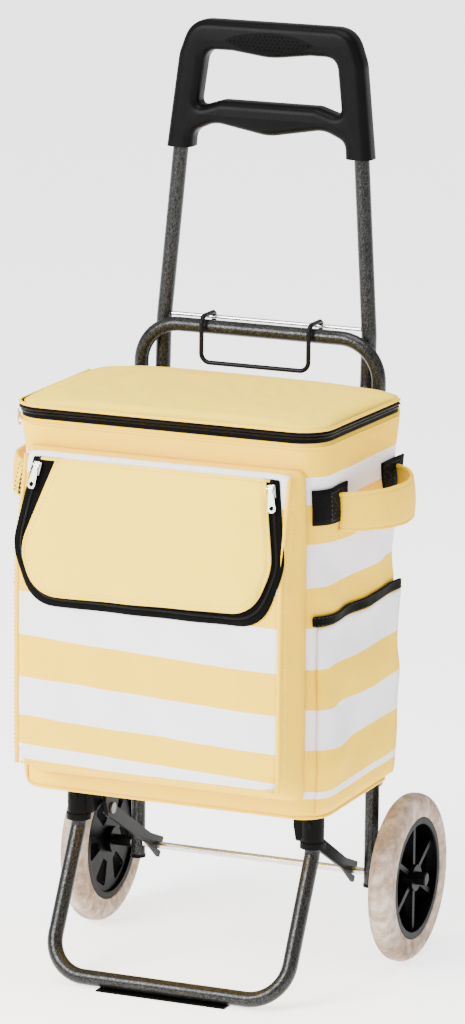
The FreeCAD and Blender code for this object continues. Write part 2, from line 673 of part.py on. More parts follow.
flap_top_z = pocket_top_z - 6
flap_hinge_z = flap_top_z + 0.4


def make_front_pocket():
    body = pocket_block(0).cut(bag_block(slip_fit, bag_bottom_z, bag_rim_z))
    body = body.cut(pocket_block(pocket_wall))
    reach = pocket_front_y - 10
    mouth = slab_y(zip_outline(-zip_band / 2 - 3, flap_top_z - 6), reach, pocket_top_y + 8)
    nodes["front_pocket"] = max(body.cut(mouth).Solids, key=lambda s: s.Volume)
    depth = pocket_top_y + 8
    outer = slab_y(zip_outline(zip_band / 2, flap_top_z + 2), reach, depth)
    inner = slab_y(zip_outline(-zip_band / 2, flap_top_z + 20), reach, depth)
    tape = front_band(slip_fit, 1.6, 370, flap_top_z + 2).common(outer).cut(inner)
    nodes["pocket_zip_tape"] = max(tape.Solids, key=lambda s: s.Volume)
    cover = slab_y(zip_outline(-zip_band / 2 - gap, flap_top_z), reach, depth)
    flap = front_band(gap, gap + flap_thickness, 370, flap_top_z).common(cover)
    nodes["pocket_flap"] = max(flap.Solids, key=lambda s: s.Volume)


def make_side_pockets():
    skin = bag_block(2.0, side_pocket_bottom_z, side_pocket_top_z)
    skin = skin.cut(bag_block(slip_fit, bag_bottom_z, bag_rim_z))
    top = side_pocket_top_z + slip_fit
    binding = bag_block(2.6, top, top + binding_height).cut(bag_block(slip_fit, bag_bottom_z, bag_rim_z))
    reach = box_between((side_pocket_front_x, -400, 0), (400, side_pocket_rear_y, 900))
    pocket = skin.common(reach)
    edge = binding.common(reach)
    nodes["side_pocket_right"] = pocket
    nodes["side_pocket_left"] = mirrored(pocket)
    nodes["side_pocket_bindings"] = group([edge, mirrored(edge)])


def make_carry_handles():
    skin = bag_block(2.2, webbing_low_z, webbing_high_z).cut(bag_block(slip_fit, bag_bottom_z, bag_rim_z))
    inner_x = bag_half_width - 10
    front = skin.common(box_between((inner_x, -400, 0), (400, webbing_front_y, 900)))
    rear = skin.common(box_between((inner_x, webbing_rear_y, 0), (400, webbing_rear_y + 50, 900)))
    nodes["handle_webbing"] = group([front, rear, mirrored(front), mirrored(rear)])
    start_x = bag_half_width + 4.5
    bow_radius = (carry_half_length ** 2 + carry_bow ** 2) / (2 * carry_bow)
    centre = point(start_x + carry_bow - bow_radius, carry_middle_y, carry_low_z)
    height = carry_high_z - carry_low_z
    band = Part.makeCylinder(bow_radius + carry_thickness / 2, height, centre)
    band = band.cut(Part.makeCylinder(bow_radius - carry_thickness / 2, height, centre))
    band = band.common(box_between((start_x, -400, 0), (400, 400, 900)))
    nodes["side_handle_right"] = band
    nodes["side_handle_left"] = mirrored(band)


def make_snap_studs():
    clearance = frame_tube_radius + gap + strap_thickness + 2 * gap
    studs = []
    for z in strap_heights:
        middle = z + strap_height / 2
        stud = fused([Part.makeCylinder(7, 1.5, point(leg_x, bag_back_y + slip_fit, middle), point(0, 1, 0)),
                      Part.makeCylinder(4.5, -clearance - bag_back_y - slip_fit,
                                        point(leg_x, bag_back_y + slip_fit, middle), point(0, 1, 0))])
        studs += [stud, mirrored(stud)]
    nodes["snap_studs"] = group(studs)


# ---- zip sliders and their pulls -----------------------------------------
slider_depth = 3.5
pull_pivot_out = 4.9
pull_pivot_up = 3.0
pull_length = 20.0


def zip_slider():
    """A slider whose back is at the origin and faces -Y, and its pull."""
    body = slab_z([(-4, -slider_depth, 1), (4, -slider_depth, 1), (4, 0, 0.5), (-4, 0, 0.5)], -6, 6)
    ears = []
    for x in (-3.2, 2.2):
        ears.append(rod_x(x, x + 1, -pull_pivot_out, pull_pivot_up, 1.6))
        ears.append(box_between((x, -pull_pivot_out, pull_pivot_up - 1.6),
                                (x + 1, -slider_depth + 0.5, pull_pivot_up + 1.6)))
    slider = fused([body] + ears)
    near, far = -pull_pivot_out - 0.6, -pull_pivot_out + 0.6
    barrel = rod_x(-1.9, 1.9, -pull_pivot_out, pull_pivot_up, 1.2)
    neck = box_between((-1.9, near, -4), (1.9, far, pull_pivot_up))
    tab = slab_y([(-2.8, -2, 1), (2.8, -2, 1), (4.2, -pull_length, 3.6), (-4.2, -pull_length, 3.6)], near, far)
    hole = Part.makeCylinder(2.2, 4, point(0, near - 1, 4.4 - pull_length), point(0, 1, 0))
    pull = fused([barrel, neck, tab]).cut(hole)
    return slider, pull


pocket_slider_z = 512.0
zip_splay = (zip_wide_x - zip_top_x) / (flap_top_z - zip_wide_z)
pocket_slider_x = zip_top_x + (flap_top_z - pocket_slider_z) * zip_splay + 0.5
lid_slider_y = -196.0


def make_sliders():
    lean_back = math.degrees(math.atan((pocket_top_y - pocket_front_y) / (pocket_top_z - pocket_slope_z)))
    for name, side in SIDES.items():
        slider, pull = zip_slider()
        for shape in (slider, pull):
            shape.rotate(point(0, 0, 0), point(0, 1, 0), -side * math.degrees(math.atan(zip_splay)))
            shape.rotate(point(0, 0, 0), point(1, 0, 0), -lean_back)
            shape.translate(point(side * pocket_slider_x, pocket_face_y(pocket_slider_z) - 1.6 - 2 * gap,
                                  pocket_slider_z))
        nodes["pocket_slider_" + name] = slider
        nodes["pocket_pull_" + name] = pull
    slider, pull = zip_slider()
    for shape in (slider, pull):
        shape.rotate(point(0, 0, 0), point(0, 0, 1), -90)
        shape.translate(point(-bag_half_width - lid_overhang - gap, lid_slider_y, bag_rim_z + tape_height - 1))
    nodes["lid_slider"] = slider
    nodes["lid_pull"] = pull


def build():
    make_main_frame()
    make_axle()
    make_frame_rivets()
    make_frame_straps()
    for side in (LEFT, RIGHT):
        make_wheel(side)
    make_platform()
    make_struts()
    make_foot(*make_elbows())
    make_handle_tubes()
    make_grip()
    make_bail()
    make_bag_body()
    make_lid()
    make_front_pocket()
    make_side_pockets()
    make_carry_handles()
    make_snap_studs()
    make_sliders()

    boxes = [shape.optimalBoundingBox(False) for shape in nodes.values()]
    front = min(box.YMin for box in boxes)
    back = max(box.YMax for box in boxes)
    shift = -(front + back) / 2
    os.makedirs("parts", exist_ok=True)
    for name, shape in nodes.items():
        shape.translate(point(0, shift, 0))
        if not shape.isValid():
            raise ValueError("not a valid solid: " + name)
        shape.exportStep("parts/%s.step" % name)
    print("%d nodes, moved %.3f along Y" % (len(nodes), shift))
    print("box X %.2f..%.2f  Y %.2f..%.2f  Z %.2f..%.2f" % (
        min(box.XMin for box in boxes), max(box.XMax for box in boxes), front + shift, back + shift,
        min(box.ZMin for box in boxes), max(box.ZMax for box in boxes)))


build()
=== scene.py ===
# %% [markdown]
# A folding shopping trolley: a hammered-enamel tube frame on two foam wheels, with a striped
# zip-top bag. The metal and moulded parts come from the engineering model and only get their
# finish here. Everything that is sewn is modelled new, because cloth needs folds, piping and weave.

# %% load the frame
import bpy
import bmesh
import json
import math
from mathutils import Matrix, Vector, noise


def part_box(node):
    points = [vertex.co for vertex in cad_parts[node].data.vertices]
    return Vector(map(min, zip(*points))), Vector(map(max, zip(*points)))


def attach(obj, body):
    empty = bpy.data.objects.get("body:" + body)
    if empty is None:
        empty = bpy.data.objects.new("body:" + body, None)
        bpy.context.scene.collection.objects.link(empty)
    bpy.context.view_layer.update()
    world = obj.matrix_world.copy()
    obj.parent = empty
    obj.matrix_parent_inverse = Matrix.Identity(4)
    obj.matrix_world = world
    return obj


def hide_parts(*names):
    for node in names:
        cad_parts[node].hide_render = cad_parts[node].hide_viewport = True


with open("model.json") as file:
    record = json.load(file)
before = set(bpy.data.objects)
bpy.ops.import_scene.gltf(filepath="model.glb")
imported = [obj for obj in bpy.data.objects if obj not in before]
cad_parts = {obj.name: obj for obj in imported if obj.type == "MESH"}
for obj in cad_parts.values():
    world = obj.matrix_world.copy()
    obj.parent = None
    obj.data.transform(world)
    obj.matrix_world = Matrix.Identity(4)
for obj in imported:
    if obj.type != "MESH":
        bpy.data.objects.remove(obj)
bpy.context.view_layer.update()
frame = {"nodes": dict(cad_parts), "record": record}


def mid(node):
    """Middle of a node's box."""
    low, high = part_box(node)
    return (Vector(low) + Vector(high)) / 2


BAG_LOW, BAG_HIGH = [Vector(c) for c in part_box("bag_shell")]
AXLE = mid("axle")
print("bag from", tuple(BAG_LOW), "to", tuple(BAG_HIGH))

# %% [markdown]
# Shader maths reads best as plain expressions. `Wire` wraps one output socket, and each operator
# adds the Math node that does it. A `Finish` owns one material: it hands out nodes and plugs the
# result into the Principled shader.

# %% a small language for materials
class Wire:
    """One shader output that can be used in expressions."""

    def __init__(self, finish, socket):
        self.finish, self.socket = finish, socket

    def _math(self, kind, other, swap=False):
        pair = [other, self] if swap else [self, other]
        return self.finish.node("ShaderNodeMath", {"operation": kind}, pair)

    def __add__(self, other): return self._math("ADD", other)
    def __radd__(self, other): return self._math("ADD", other)
    def __sub__(self, other): return self._math("SUBTRACT", other)
    def __rsub__(self, other): return self._math("SUBTRACT", other, True)
    def __mul__(self, other): return self._math("MULTIPLY", other)
    def __truediv__(self, other): return self._math("DIVIDE", other)


class Finish:
    """A material with one Principled shader."""

    def __init__(self, name, **fixed):
        self.material = bpy.data.materials.new(name)
        self.material.use_nodes = True
        self.tree = self.material.node_tree
        self.shader = self.tree.nodes["Principled BSDF"]
        for socket, value in fixed.items():
            self.shader.inputs[socket.replace("_", " ").title().replace("Ior", "IOR")].default_value = value

    def node(self, kind, settings=None, values=(), out=0):
        made = self.tree.nodes.new(kind)
        for key, value in (settings or {}).items():
            if key == "stops":
                ramp = made.color_ramp
                for i, (place, colour) in enumerate(value):
                    stop = ramp.elements[i] if i < len(ramp.elements) else ramp.elements.new(place)
                    stop.position = place
                    stop.color = colour
            elif key == "blend":
                made.color_ramp.interpolation = value
            else:
                setattr(made, key, value)
        pairs = values.items() if isinstance(values, dict) else enumerate(values)
        for key, value in pairs:
            if isinstance(value, Wire):
                self.tree.links.new(value.socket, made.inputs[key])
            else:
                made.inputs[key].default_value = value
        return Wire(self, made.outputs[out])

    def place(self, scale=(1, 1, 1)):
        """The surface's own coordinates, stretched."""
        raw = self.node("ShaderNodeTexCoord", out="Object")
        return self.node("ShaderNodeMapping", {}, {"Vector": raw, "Scale": scale})

    def axis(self, name):
        raw = self.node("ShaderNodeTexCoord", out="Object")
        return self.node("ShaderNodeSeparateXYZ", {}, [raw], out=name)

    def grain(self, scale, detail=3.0, rough=0.5, at=None):
        return self.node("ShaderNodeTexNoise", {}, {"Vector": at or self.place(), "Scale": scale,
                                                    "Detail": detail, "Roughness": rough})

    def sine(self, value, period):
        turned = value * (2 * math.pi / period)
        return self.node("ShaderNodeMath", {"operation": "SINE"}, [turned])

    def ramp(self, value, stops, blend="LINEAR"):
        return self.node("ShaderNodeValToRGB", {"stops": stops, "blend": blend}, [value])

    def mix(self, share, low, high):
        return self.node("ShaderNodeMix", {"data_type": "RGBA"}, {0: share, 6: low, 7: high}, out=2)

    def paint(self, colour=None, rough=None, height=None, depth=0.0003, strength=1.0, metal=None):
        if colour is not None:
            self.tree.links.new(colour.socket, self.shader.inputs["Base Color"])
        if rough is not None:
            self.tree.links.new(rough.socket, self.shader.inputs["Roughness"])
        if metal is not None:
            self.tree.links.new(metal.socket, self.shader.inputs["Metallic"])
        if height is not None:
            relief = {"Strength": strength, "Distance": depth, "Height": height}
            bump = self.node("ShaderNodeBump", {}, relief)
            self.tree.links.new(bump.socket, self.shader.inputs["Normal"])
        return self.material


def grey(level):
    return (level, level, level, 1.0)


# %% [markdown]
# The frame is sprayed with hammered enamel: a dark grey film that pulls into cells, with silver
# flake showing in the seams between them. A Voronoi cell edge gives the seams, and noise breaks
# them up so that no two cells look alike.

# %% hammered enamel
def hammered_enamel():
    finish = Finish("hammered_enamel", coat_weight=0.1, coat_roughness=0.15, specular_ior_level=0.2)
    wobble = finish.grain(260, 2)
    moved = finish.node("ShaderNodeVectorMath", {"operation": "MULTIPLY_ADD"},
                        [finish.node("ShaderNodeCombineXYZ", {}, [wobble, wobble, wobble]),
                         (0.004, 0.004, 0.004), finish.place((1, 1, 0.55))])
    cells = finish.node("ShaderNodeTexVoronoi", {"feature": "DISTANCE_TO_EDGE"},
                        {"Vector": moved, "Scale": 420})
    seam = finish.ramp(cells, [(0.0, grey(1)), (0.11, grey(0.55)), (0.26, grey(0))])
    patch = finish.ramp(finish.grain(900, 3, 0.7), [(0.42, grey(0)), (0.62, grey(1))])
    silver = finish.node("ShaderNodeMath", {"operation": "MULTIPLY"}, [seam, patch])
    colour = finish.mix(silver, (0.003, 0.003, 0.003, 1), (0.06, 0.059, 0.058, 1))
    return finish.paint(colour, 0.34 - silver * 0.08, cells, 0.0004, 0.7, 0.3 + silver * 0.4)


ENAMEL = hammered_enamel()
print("made", ENAMEL.name)

# %% [markdown]
# The elbows, plugs and grip are moulded plastic. Real mouldings are never a single black: the
# surface has a fine spark-eroded grain and handling leaves slightly shinier patches.

# %% moulded plastics and plain metals
def moulded(name, level, rough, grain_size=1400, grain_depth=0.00006, **fixed):
    finish = Finish(name, specular_ior_level=0.045, **fixed)
    wear = finish.grain(22, 4, 0.6)
    fine = finish.grain(grain_size, 2, 0.6)
    colour = finish.mix(wear, grey(level * 0.75), (level * 1.35, level * 1.33, level * 1.4, 1))
    return finish.paint(colour, rough - 0.1 + wear * 0.2, fine, grain_depth, 0.8)


def drawn_metal(name, level, rough):
    finish = Finish(name, metallic=1.0)
    lines = finish.grain(60, 3, 0.7, finish.place((1, 40, 40)))
    spots = finish.grain(300, 2)
    colour = finish.mix(spots, grey(level * 0.82), (level, level, level * 1.02, 1))
    return finish.paint(colour, rough - 0.08 + lines * 0.18, lines, 0.00005, 0.5)


BLACK_PLASTIC = moulded("black_plastic", 0.0015, 0.42)
GRIP_PLASTIC = moulded("grip_plastic", 0.0022, 0.36, 1100, 0.0001)
HUB_PLASTIC = moulded("hub_plastic", 0.0006, 0.4, 500, 0.00003)
BOARD = moulded("fibre_board", 0.06, 0.7, 700)
BRIGHT_STEEL = drawn_metal("bright_steel", 0.72, 0.26)
RIVET_STEEL = drawn_metal("rivet_steel", 0.16, 0.4)
ZIP_METAL = drawn_metal("zip_metal", 0.82, 0.2)
BLACK_STEEL = moulded("black_enamel_steel", 0.002, 0.36, 320, 0.0001)
BAIL_WIRE = moulded("bail_wire", 0.01, 0.35, 400, 0.00006, metallic=0.5)
print("made the mouldings and metals")

# %% [markdown]
# The tyres are foamed rubber, cast from reground crumbs, so the beige is mottled at several sizes:
# broad cloudy patches, thumbnail blotches and tiny dark specks. Three noises are stacked.

# %% foam tyre
def foam_rubber():
    finish = Finish("foam_rubber", specular_ior_level=0.3)
    cloud = finish.grain(28, 5, 0.65)
    blotch = finish.grain(110, 4, 0.7)
    speck = finish.node("ShaderNodeTexVoronoi", {}, {"Vector": finish.place(), "Scale": 420.0})
    base = finish.ramp(cloud * 0.55 + blotch * 0.45,
                       [(0.34, (0.16, 0.1, 0.065, 1)), (0.47, (0.29, 0.21, 0.155, 1)),
                        (0.56, (0.4, 0.32, 0.26, 1)), (0.68, (0.6, 0.52, 0.45, 1))])
    dark = finish.ramp(speck, [(0.0, grey(1)), (0.16, grey(0.6)), (0.24, grey(0))])
    rare = finish.ramp(finish.grain(160, 1), [(0.5, grey(0)), (0.62, grey(0.55))])
    share = finish.node("ShaderNodeMath", {"operation": "MULTIPLY"}, [dark, rare])
    colour = finish.mix(share, base, (0.14, 0.085, 0.055, 1))
    return finish.paint(colour, 0.72 + blotch * 0.2, blotch * 0.6 + finish.grain(700, 2) * 0.4, 0.0006, 0.7)


FOAM = foam_rubber()

# %% [markdown]
# The bag is plain-weave polyester, printed with wide stripes. Two sine waves crossed at right
# angles make the weave; the stripes are a ramp on height with hard steps. The same function makes
# every cloth, so that the weave matches across the seams.

# %% cloths
YELLOW = (0.97, 0.6, 0.008, 1)
PALE_YELLOW = (0.98, 0.68, 0.03, 1)
WHITE = (0.86, 0.84, 0.9, 1)
STRIPE = 0.0393
FIRST_STRIPE = 0.4935
STRIPES_LOW = 0.15
STRIPES_SPAN = 0.45
THREAD_PITCH = 0.0011
CLOTH_ROUGH = 0.78
CLOTH_DEPTH = 0.00088


def weave(finish, pitch=THREAD_PITCH):
    """Height of a plain weave, by object coordinates: threads that run up, crossed by level ones."""
    x, y, z = finish.axis("X"), finish.axis("Y"), finish.axis("Z")
    across = finish.sine(x + y, pitch)
    up = finish.sine(z, pitch)
    return across * up * 0.5 + 0.5


def cloth(name, colour_of):
    """A woven finish. colour_of makes its colour, which a warm shade then dulls unevenly."""
    finish = Finish(name, sheen_weight=0.05, sheen_roughness=0.45, specular_ior_level=0.1)
    threads = weave(finish)
    cloudy = finish.grain(14, 4, 0.6)
    colour = colour_of(finish)
    shade = finish.mix(0.01 + threads * 0.04 + cloudy * 0.06, colour, (0.7, 0.4, 0.04, 1))
    wrinkle = finish.grain(38, 4, 0.55)
    return finish.paint(shade, CLOTH_ROUGH + cloudy * 0.12, threads * 0.25 + wrinkle * 2.6, CLOTH_DEPTH, 0.7)


def plain(colour):
    return lambda finish: finish.mix(0.0, colour, colour)


def striped_by(height_of, edges):
    """Yellow and white bands; edges are heights in metres where the colour changes, from yellow."""
    def colour(finish):
        stops = [(0.0, YELLOW)]
        for i, edge in enumerate(edges):
            stops.append(((edge - STRIPES_LOW) / STRIPES_SPAN, WHITE if i % 2 == 0 else YELLOW))
        share = (height_of(finish) - STRIPES_LOW) / STRIPES_SPAN
        return finish.ramp(share, stops, "CONSTANT")
    return colour


body_edges = [0.2105, 0.2175] + [FIRST_STRIPE - STRIPE * k for k in range(6, -1, -1)] + [0.5205]
STRIPED = cloth("striped_canvas", striped_by(
    lambda f: f.axis("Z") + f.grain(9, 2) * 0.003 - 0.0015, body_edges))
pocket_edges = [0.229, 0.242, 0.271, 0.308, 0.348, 0.39, 0.424, 0.461, 0.5]
SKEW = 0.04
POCKET_STRIPED = cloth("pocket_canvas", striped_by(
    lambda f: f.axis("Z") + f.axis("X") * SKEW + f.grain(9, 2) * 0.003 - 0.0015, pocket_edges))
CANVAS = cloth("yellow_canvas", plain(PALE_YELLOW))
DEEP_CANVAS = cloth("deep_yellow_canvas", plain(YELLOW))
print("body stripes at", [round(e, 4) for e in body_edges])


def black_cloth(name, pitch, level=0.0008):
    """Ribbed black cloth. The pitch is the distance from rib to rib."""
    finish = Finish(name, sheen_weight=0.01, sheen_roughness=0.4, specular_ior_level=0.06)
    ribs = finish.sine(finish.axis("Z"), pitch) * 0.5 + 0.5
    fine = weave(finish, 0.0008)
    fluff = finish.grain(60, 3)
    colour = finish.mix(fluff, grey(level * 0.6), (level * 1.8, level * 1.7, level * 1.7, 1))
    return finish.paint(colour, 0.6 + fluff * 0.25, ribs * 0.7 + fine * 0.3, 0.0004, 0.8)


WEBBING = black_cloth("black_webbing", 0.0022)
ZIP_TAPE = black_cloth("zip_tape", 0.0012, 0.0006)


def foil_cloth():
    finish = Finish("foil_lining", metallic=0.9)
    crumple = finish.node("ShaderNodeTexVoronoi", {}, {"Vector": finish.place(), "Scale": 60.0})
    fine = finish.grain(90, 4, 0.6)
    colour = finish.mix(fine, grey(0.55), (0.8, 0.81, 0.84, 1))
    return finish.paint(colour, 0.25 + fine * 0.25, crumple + fine, 0.002, 0.5)


FOIL = foil_cloth()

# %% [markdown]
# The engineering pieces keep their shapes. Each one gets the finish of its material slot, so the
# table below is the whole paint shop: the slot's name on the left, the finish on the right. The
# screws and the axle's end caps are blackened, though their slot is bright steel.

# %% paint the engineering parts
PAINT_SHOP = {"frame_enamel": ENAMEL, "black_plastic": BLACK_PLASTIC, "bright_steel": BRIGHT_STEEL,
              "black_steel": BLACK_STEEL, "rivet_steel": RIVET_STEEL, "bail_wire": BAIL_WIRE,
              "tyre_foam": FOAM, "hub_plastic": HUB_PLASTIC, "grip_plastic": GRIP_PLASTIC,
              "grip_rubber": GRIP_PLASTIC, "striped_canvas": STRIPED, "yellow_canvas": CANVAS,
              "black_webbing": WEBBING, "zip_tape": ZIP_TAPE, "foil_lining": FOIL, "board": BOARD,
              "zip_metal": ZIP_METAL}
for part in frame["record"]["subparts"]:
    target = frame["nodes"][part["node"]]
    target.data.materials.clear()
    target.data.materials.append(PAINT_SHOP[part["material_slot"]])
for name in ("elbow_screws", "grip_screws", "axle_end_caps"):
    frame["nodes"][name].data.materials[0] = BLACK_STEEL

# %% [markdown]
# Small helpers for new pieces. A piece is always built in place and left at the origin. `strip`
# joins two rows of points with `bridge_loops`, which is how tapes and bindings are cut: as bands
# between two lines. `grid_cut` slices a form with planes so that it has enough points to fold.

# %% building helpers
def piece(name, bm, finish, body, stands_for=()):
    """Makes a finished, smooth object of a form, on its body and in its material slot."""
    bmesh.ops.remove_doubles(bm, verts=bm.verts, dist=0.00001)
    bmesh.ops.recalc_face_normals(bm, faces=bm.faces)
    mesh = bpy.data.meshes.new(name)
    bm.to_mesh(mesh)
    bm.free()
    for face in mesh.polygons:
        face.use_smooth = True
    mesh.materials.append(finish)
    made = bpy.data.objects.new(name, mesh)
    bpy.context.collection.objects.link(made)
    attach(made, body)
    if stands_for:
        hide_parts(*stands_for)
    print(name, len(mesh.polygons), "faces")
    return made


def row(bm, points):
    """An open line of edges."""
    verts = [bm.verts.new(p) for p in points]
    return [bm.edges.new(pair) for pair in zip(verts, verts[1:])]


def strip(bm, low, high):
    """A band between two rows of points."""
    bmesh.ops.bridge_loops(bm, edges=row(bm, low) + row(bm, high))


def grid_cut(bm, axis, low, high, step):
    """Slices the whole form with evenly spaced planes across an axis."""
    count = max(1, round((high - low) / step))
    normal = Vector([1.0 if i == axis else 0.0 for i in range(3)])
    for i in range(1, count):
        spot = normal * (low + (high - low) * i / count)
        everything = bm.verts[:] + bm.edges[:] + bm.faces[:]
        bmesh.ops.bisect_plane(bm, geom=everything, plane_co=spot, plane_no=normal)


def thicken(made, thickness, offset, levels=0):
    """Gives cloth its thickness. The offset is -1 inwards, 0 both ways, and levels round it off."""
    wall = made.modifiers.new("wall", "SOLIDIFY")
    wall.thickness = thickness
    wall.offset = offset
    if levels:
        smooth = made.modifiers.new("smooth", "SUBSURF")
        smooth.levels = levels
        smooth.render_levels = levels


def round_cord(name, points, radius, finish, body):
    """A sewn-in cord: a smooth curve made round, then turned into a mesh."""
    curve = bpy.data.curves.new(name, "CURVE")
    curve.dimensions = "3D"
    line = curve.splines.new("NURBS")
    line.points.add(len(points) - 1)
    for spot, place in zip(line.points, points):
        spot.co = (*place, 1.0)
    line.order_u = 3
    line.use_endpoint_u = True
    line.resolution_u = 3
    curve.bevel_depth = radius
    curve.bevel_resolution = 2
    curve.use_fill_caps = True
    holder = bpy.data.objects.new(name + "_line", curve)
    bm = bmesh.new()
    bm.from_mesh(bpy.data.meshes.new_from_object(holder))
    bpy.data.objects.remove(holder)
    return piece(name, bm, finish, body)


# %% [markdown]
# The bag's outline is a rounded rectangle, and the mouth leans forward. `settle` is the cloth's
# slump: it pushes any point out or in by slow noise, by folds that fan from the lower corners, and
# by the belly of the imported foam. All the layers use the same slump, so they stay on each other.

# %% the bag's outline and its slump
HALF_X = BAG_HIGH.x
BACK_Y = BAG_HIGH.y
SHOULDER_Z = 0.480
RIM_Z = BAG_HIGH.z
CORNER = 0.030
DEPTHS = ((BAG_LOW.z, 0.197), (SHOULDER_Z, 0.200), (RIM_Z, BACK_Y - BAG_LOW.y))


def between(value, low, high):
    """How far a value is from low to high, 0 to 1, eased at both ends."""
    share = min(1.0, max(0.0, (value - low) / (high - low)))
    return share * share * (3 - 2 * share)


def front_y(z):
    """The front face at a height: it leans out to the shoulder and more steeply to the rim."""
    (z0, d0), (z1, d1), (z2, d2) = DEPTHS
    if z < z1:
        return BACK_Y - d0 - (d1 - d0) * max(0, z - z0) / (z1 - z0)
    return BACK_Y - d1 - (d2 - d1) * min(1, (z - z1) / (z2 - z1)) ** 1.3


def flare(x, y, z):
    """The mouth is pulled out a little at its rear right corner."""
    return 0.007 * between(x, 0.1, HALF_X) * between(y, front_y(z), BACK_Y) * between(z, SHOULDER_Z, RIM_Z)


def settle(spot):
    """Where a point of the smooth bag ends up when the cloth has slumped."""
    x, y, z = spot
    front = front_y(z)
    middle = (front + BACK_Y) / 2
    half_y = (BACK_Y - front) / 2
    out = Vector(((x / HALF_X) ** 7 / HALF_X, ((y - middle) / half_y) ** 7 / half_y, 0))
    if out.length < 1e-9:
        return Vector(spot)
    out.normalize()
    slow = noise.noise(Vector((x * 7, y * 7, z * 6)))
    creases = noise.noise(Vector((x * 16 + z * 9, y * 20 + z * 12, z * 14 - y * 10)))
    fold_line = math.sin((z * 0.8 + abs(y) * 0.7 + x * 0.15) * 95) * between(0.32 - z, 0, 0.12)
    side = abs(out.x)
    belly = between(z, BAG_LOW.z, 0.26) * between(RIM_Z - z, 0, 0.09)
    push = slow * 0.005 + creases * (0.0035 + 0.004 * side) + fold_line * 0.0026 * side + 0.0012 * belly
    tuck = -0.002 * (1 - between(z, BAG_LOW.z, BAG_LOW.z + 0.012))
    return Vector(spot) + out * (push * belly + tuck) + Vector((flare(x, y, z), 0, 0))


def outline(grow, z, start, stop, mirror=1, steps=14):
    """Points round the bag from `start` on the front face to `stop` on the side face."""
    front = front_y(z) - grow
    x_end, y_start = HALF_X + grow - CORNER, front + CORNER
    points = []
    if start < x_end:
        points += [(start + (x_end - start) * i / steps, front, z) for i in range(steps)]
    for i in range(9):
        turn = math.pi / 2 * i / 8
        points.append((x_end + CORNER * math.sin(turn), y_start - CORNER * math.cos(turn), z))
    if stop > y_start:
        points += [(HALF_X + grow, y_start + (stop - y_start) * i / steps, z) for i in range(1, steps + 1)]
    return [settle((mirror * x, y, z)) for x, y, z in points if x >= start - 1e-6]


def around(grow, z, stop):
    """From one side, across the front, to the other side."""
    return outline(grow, z, 0, stop, -1)[:0:-1] + outline(grow, z, 0, stop, 1)


def rounded_box(half_x, y0, y1, z0, z1, corner, step):
    """A box with rounded upright edges, cut into squares of about `step`."""
    bm = bmesh.new()
    bmesh.ops.create_cube(bm, size=1.0)
    bmesh.ops.scale(bm, verts=bm.verts, vec=(2 * half_x, y1 - y0, z1 - z0))
    bmesh.ops.translate(bm, verts=bm.verts, vec=(0, (y0 + y1) / 2, (z0 + z1) / 2))
    upright = [e for e in bm.edges if abs(e.verts[0].co.z - e.verts[1].co.z) > (z1 - z0) / 2]
    bmesh.ops.bevel(bm, geom=upright, offset=corner, segments=7, profile=0.5, affect="EDGES", material=-1)
    grid_cut(bm, 0, -half_x + corner, half_x - corner, step)
    grid_cut(bm, 1, y0 + corner, y1 - corner, step)
    grid_cut(bm, 2, z0, z1, step)
    return bm


# %% [markdown]
# The shell is one open-topped cloth tub. It is cut into a fine grid, its front is leaned to the real
# slope, and the slump is applied. A Solidify modifier gives the foam its 5 mm, inwards.

# %% bag shell and foil lining
FOAM_WALL = 0.005
TUB_STEP = 0.008


def tub(name, inset, floor_z, finish, node, wall):
    """An open-topped tub that fits inside the bag's outline by `inset`."""
    flat_front = BACK_Y - DEPTHS[1][1]
    bm = rounded_box(HALF_X - inset, flat_front + inset, BACK_Y - inset, floor_z, RIM_Z,
                     CORNER - inset, TUB_STEP)
    top_faces = [f for f in bm.faces if f.normal.z > 0.9]
    bmesh.ops.delete(bm, geom=top_faces, context="FACES")
    for vert in bm.verts:
        share = (BACK_Y - vert.co.y) / (BACK_Y - flat_front)
        vert.co.y = BACK_Y - share * (BACK_Y - front_y(vert.co.z))
        vert.co = settle(vert.co)
        if vert.co.z < floor_z + 0.001:
            vert.co.z += 0.0015 * noise.noise(vert.co * 12) + 0.001 * (abs(vert.co.x) / HALF_X)
    thicken(piece(name, bm, finish, "bag", (node,)), wall, -1.0)


tub("bag_cloth", 0.0, BAG_LOW.z, STRIPED, "bag_shell", FOAM_WALL)
tub("foil_tub", FOAM_WALL + 0.0006, BAG_LOW.z + FOAM_WALL + 0.0008,
    FOIL, "bag_lining", 0.0009)

# %% [markdown]
# Side pockets are a second layer of the same striped cloth, wrapped round the front corner and
# bound in black along the mouth. A band between two rows follows the outline exactly.

# %% side pockets and bindings
POCKET_MOUTH_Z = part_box("side_pocket_right")[1][2]
POCKET_REAR_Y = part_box("side_pocket_right")[1][1]
BINDING_TOP_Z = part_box("side_pocket_bindings")[1][2]
SIDE_FOOT_Z = 0.196
SIDE_START_X = 0.145
SIDES = {"right": 1, "left": -1}


def wrap(bm, grow, heights, side):
    """A layer of cloth round the front corner, from the front face to the side pocket's rear edge."""
    for low, high in zip(heights, heights[1:]):
        strip(bm, outline(grow, low, SIDE_START_X, POCKET_REAR_Y, side),
              outline(grow, high, SIDE_START_X, POCKET_REAR_Y, side))


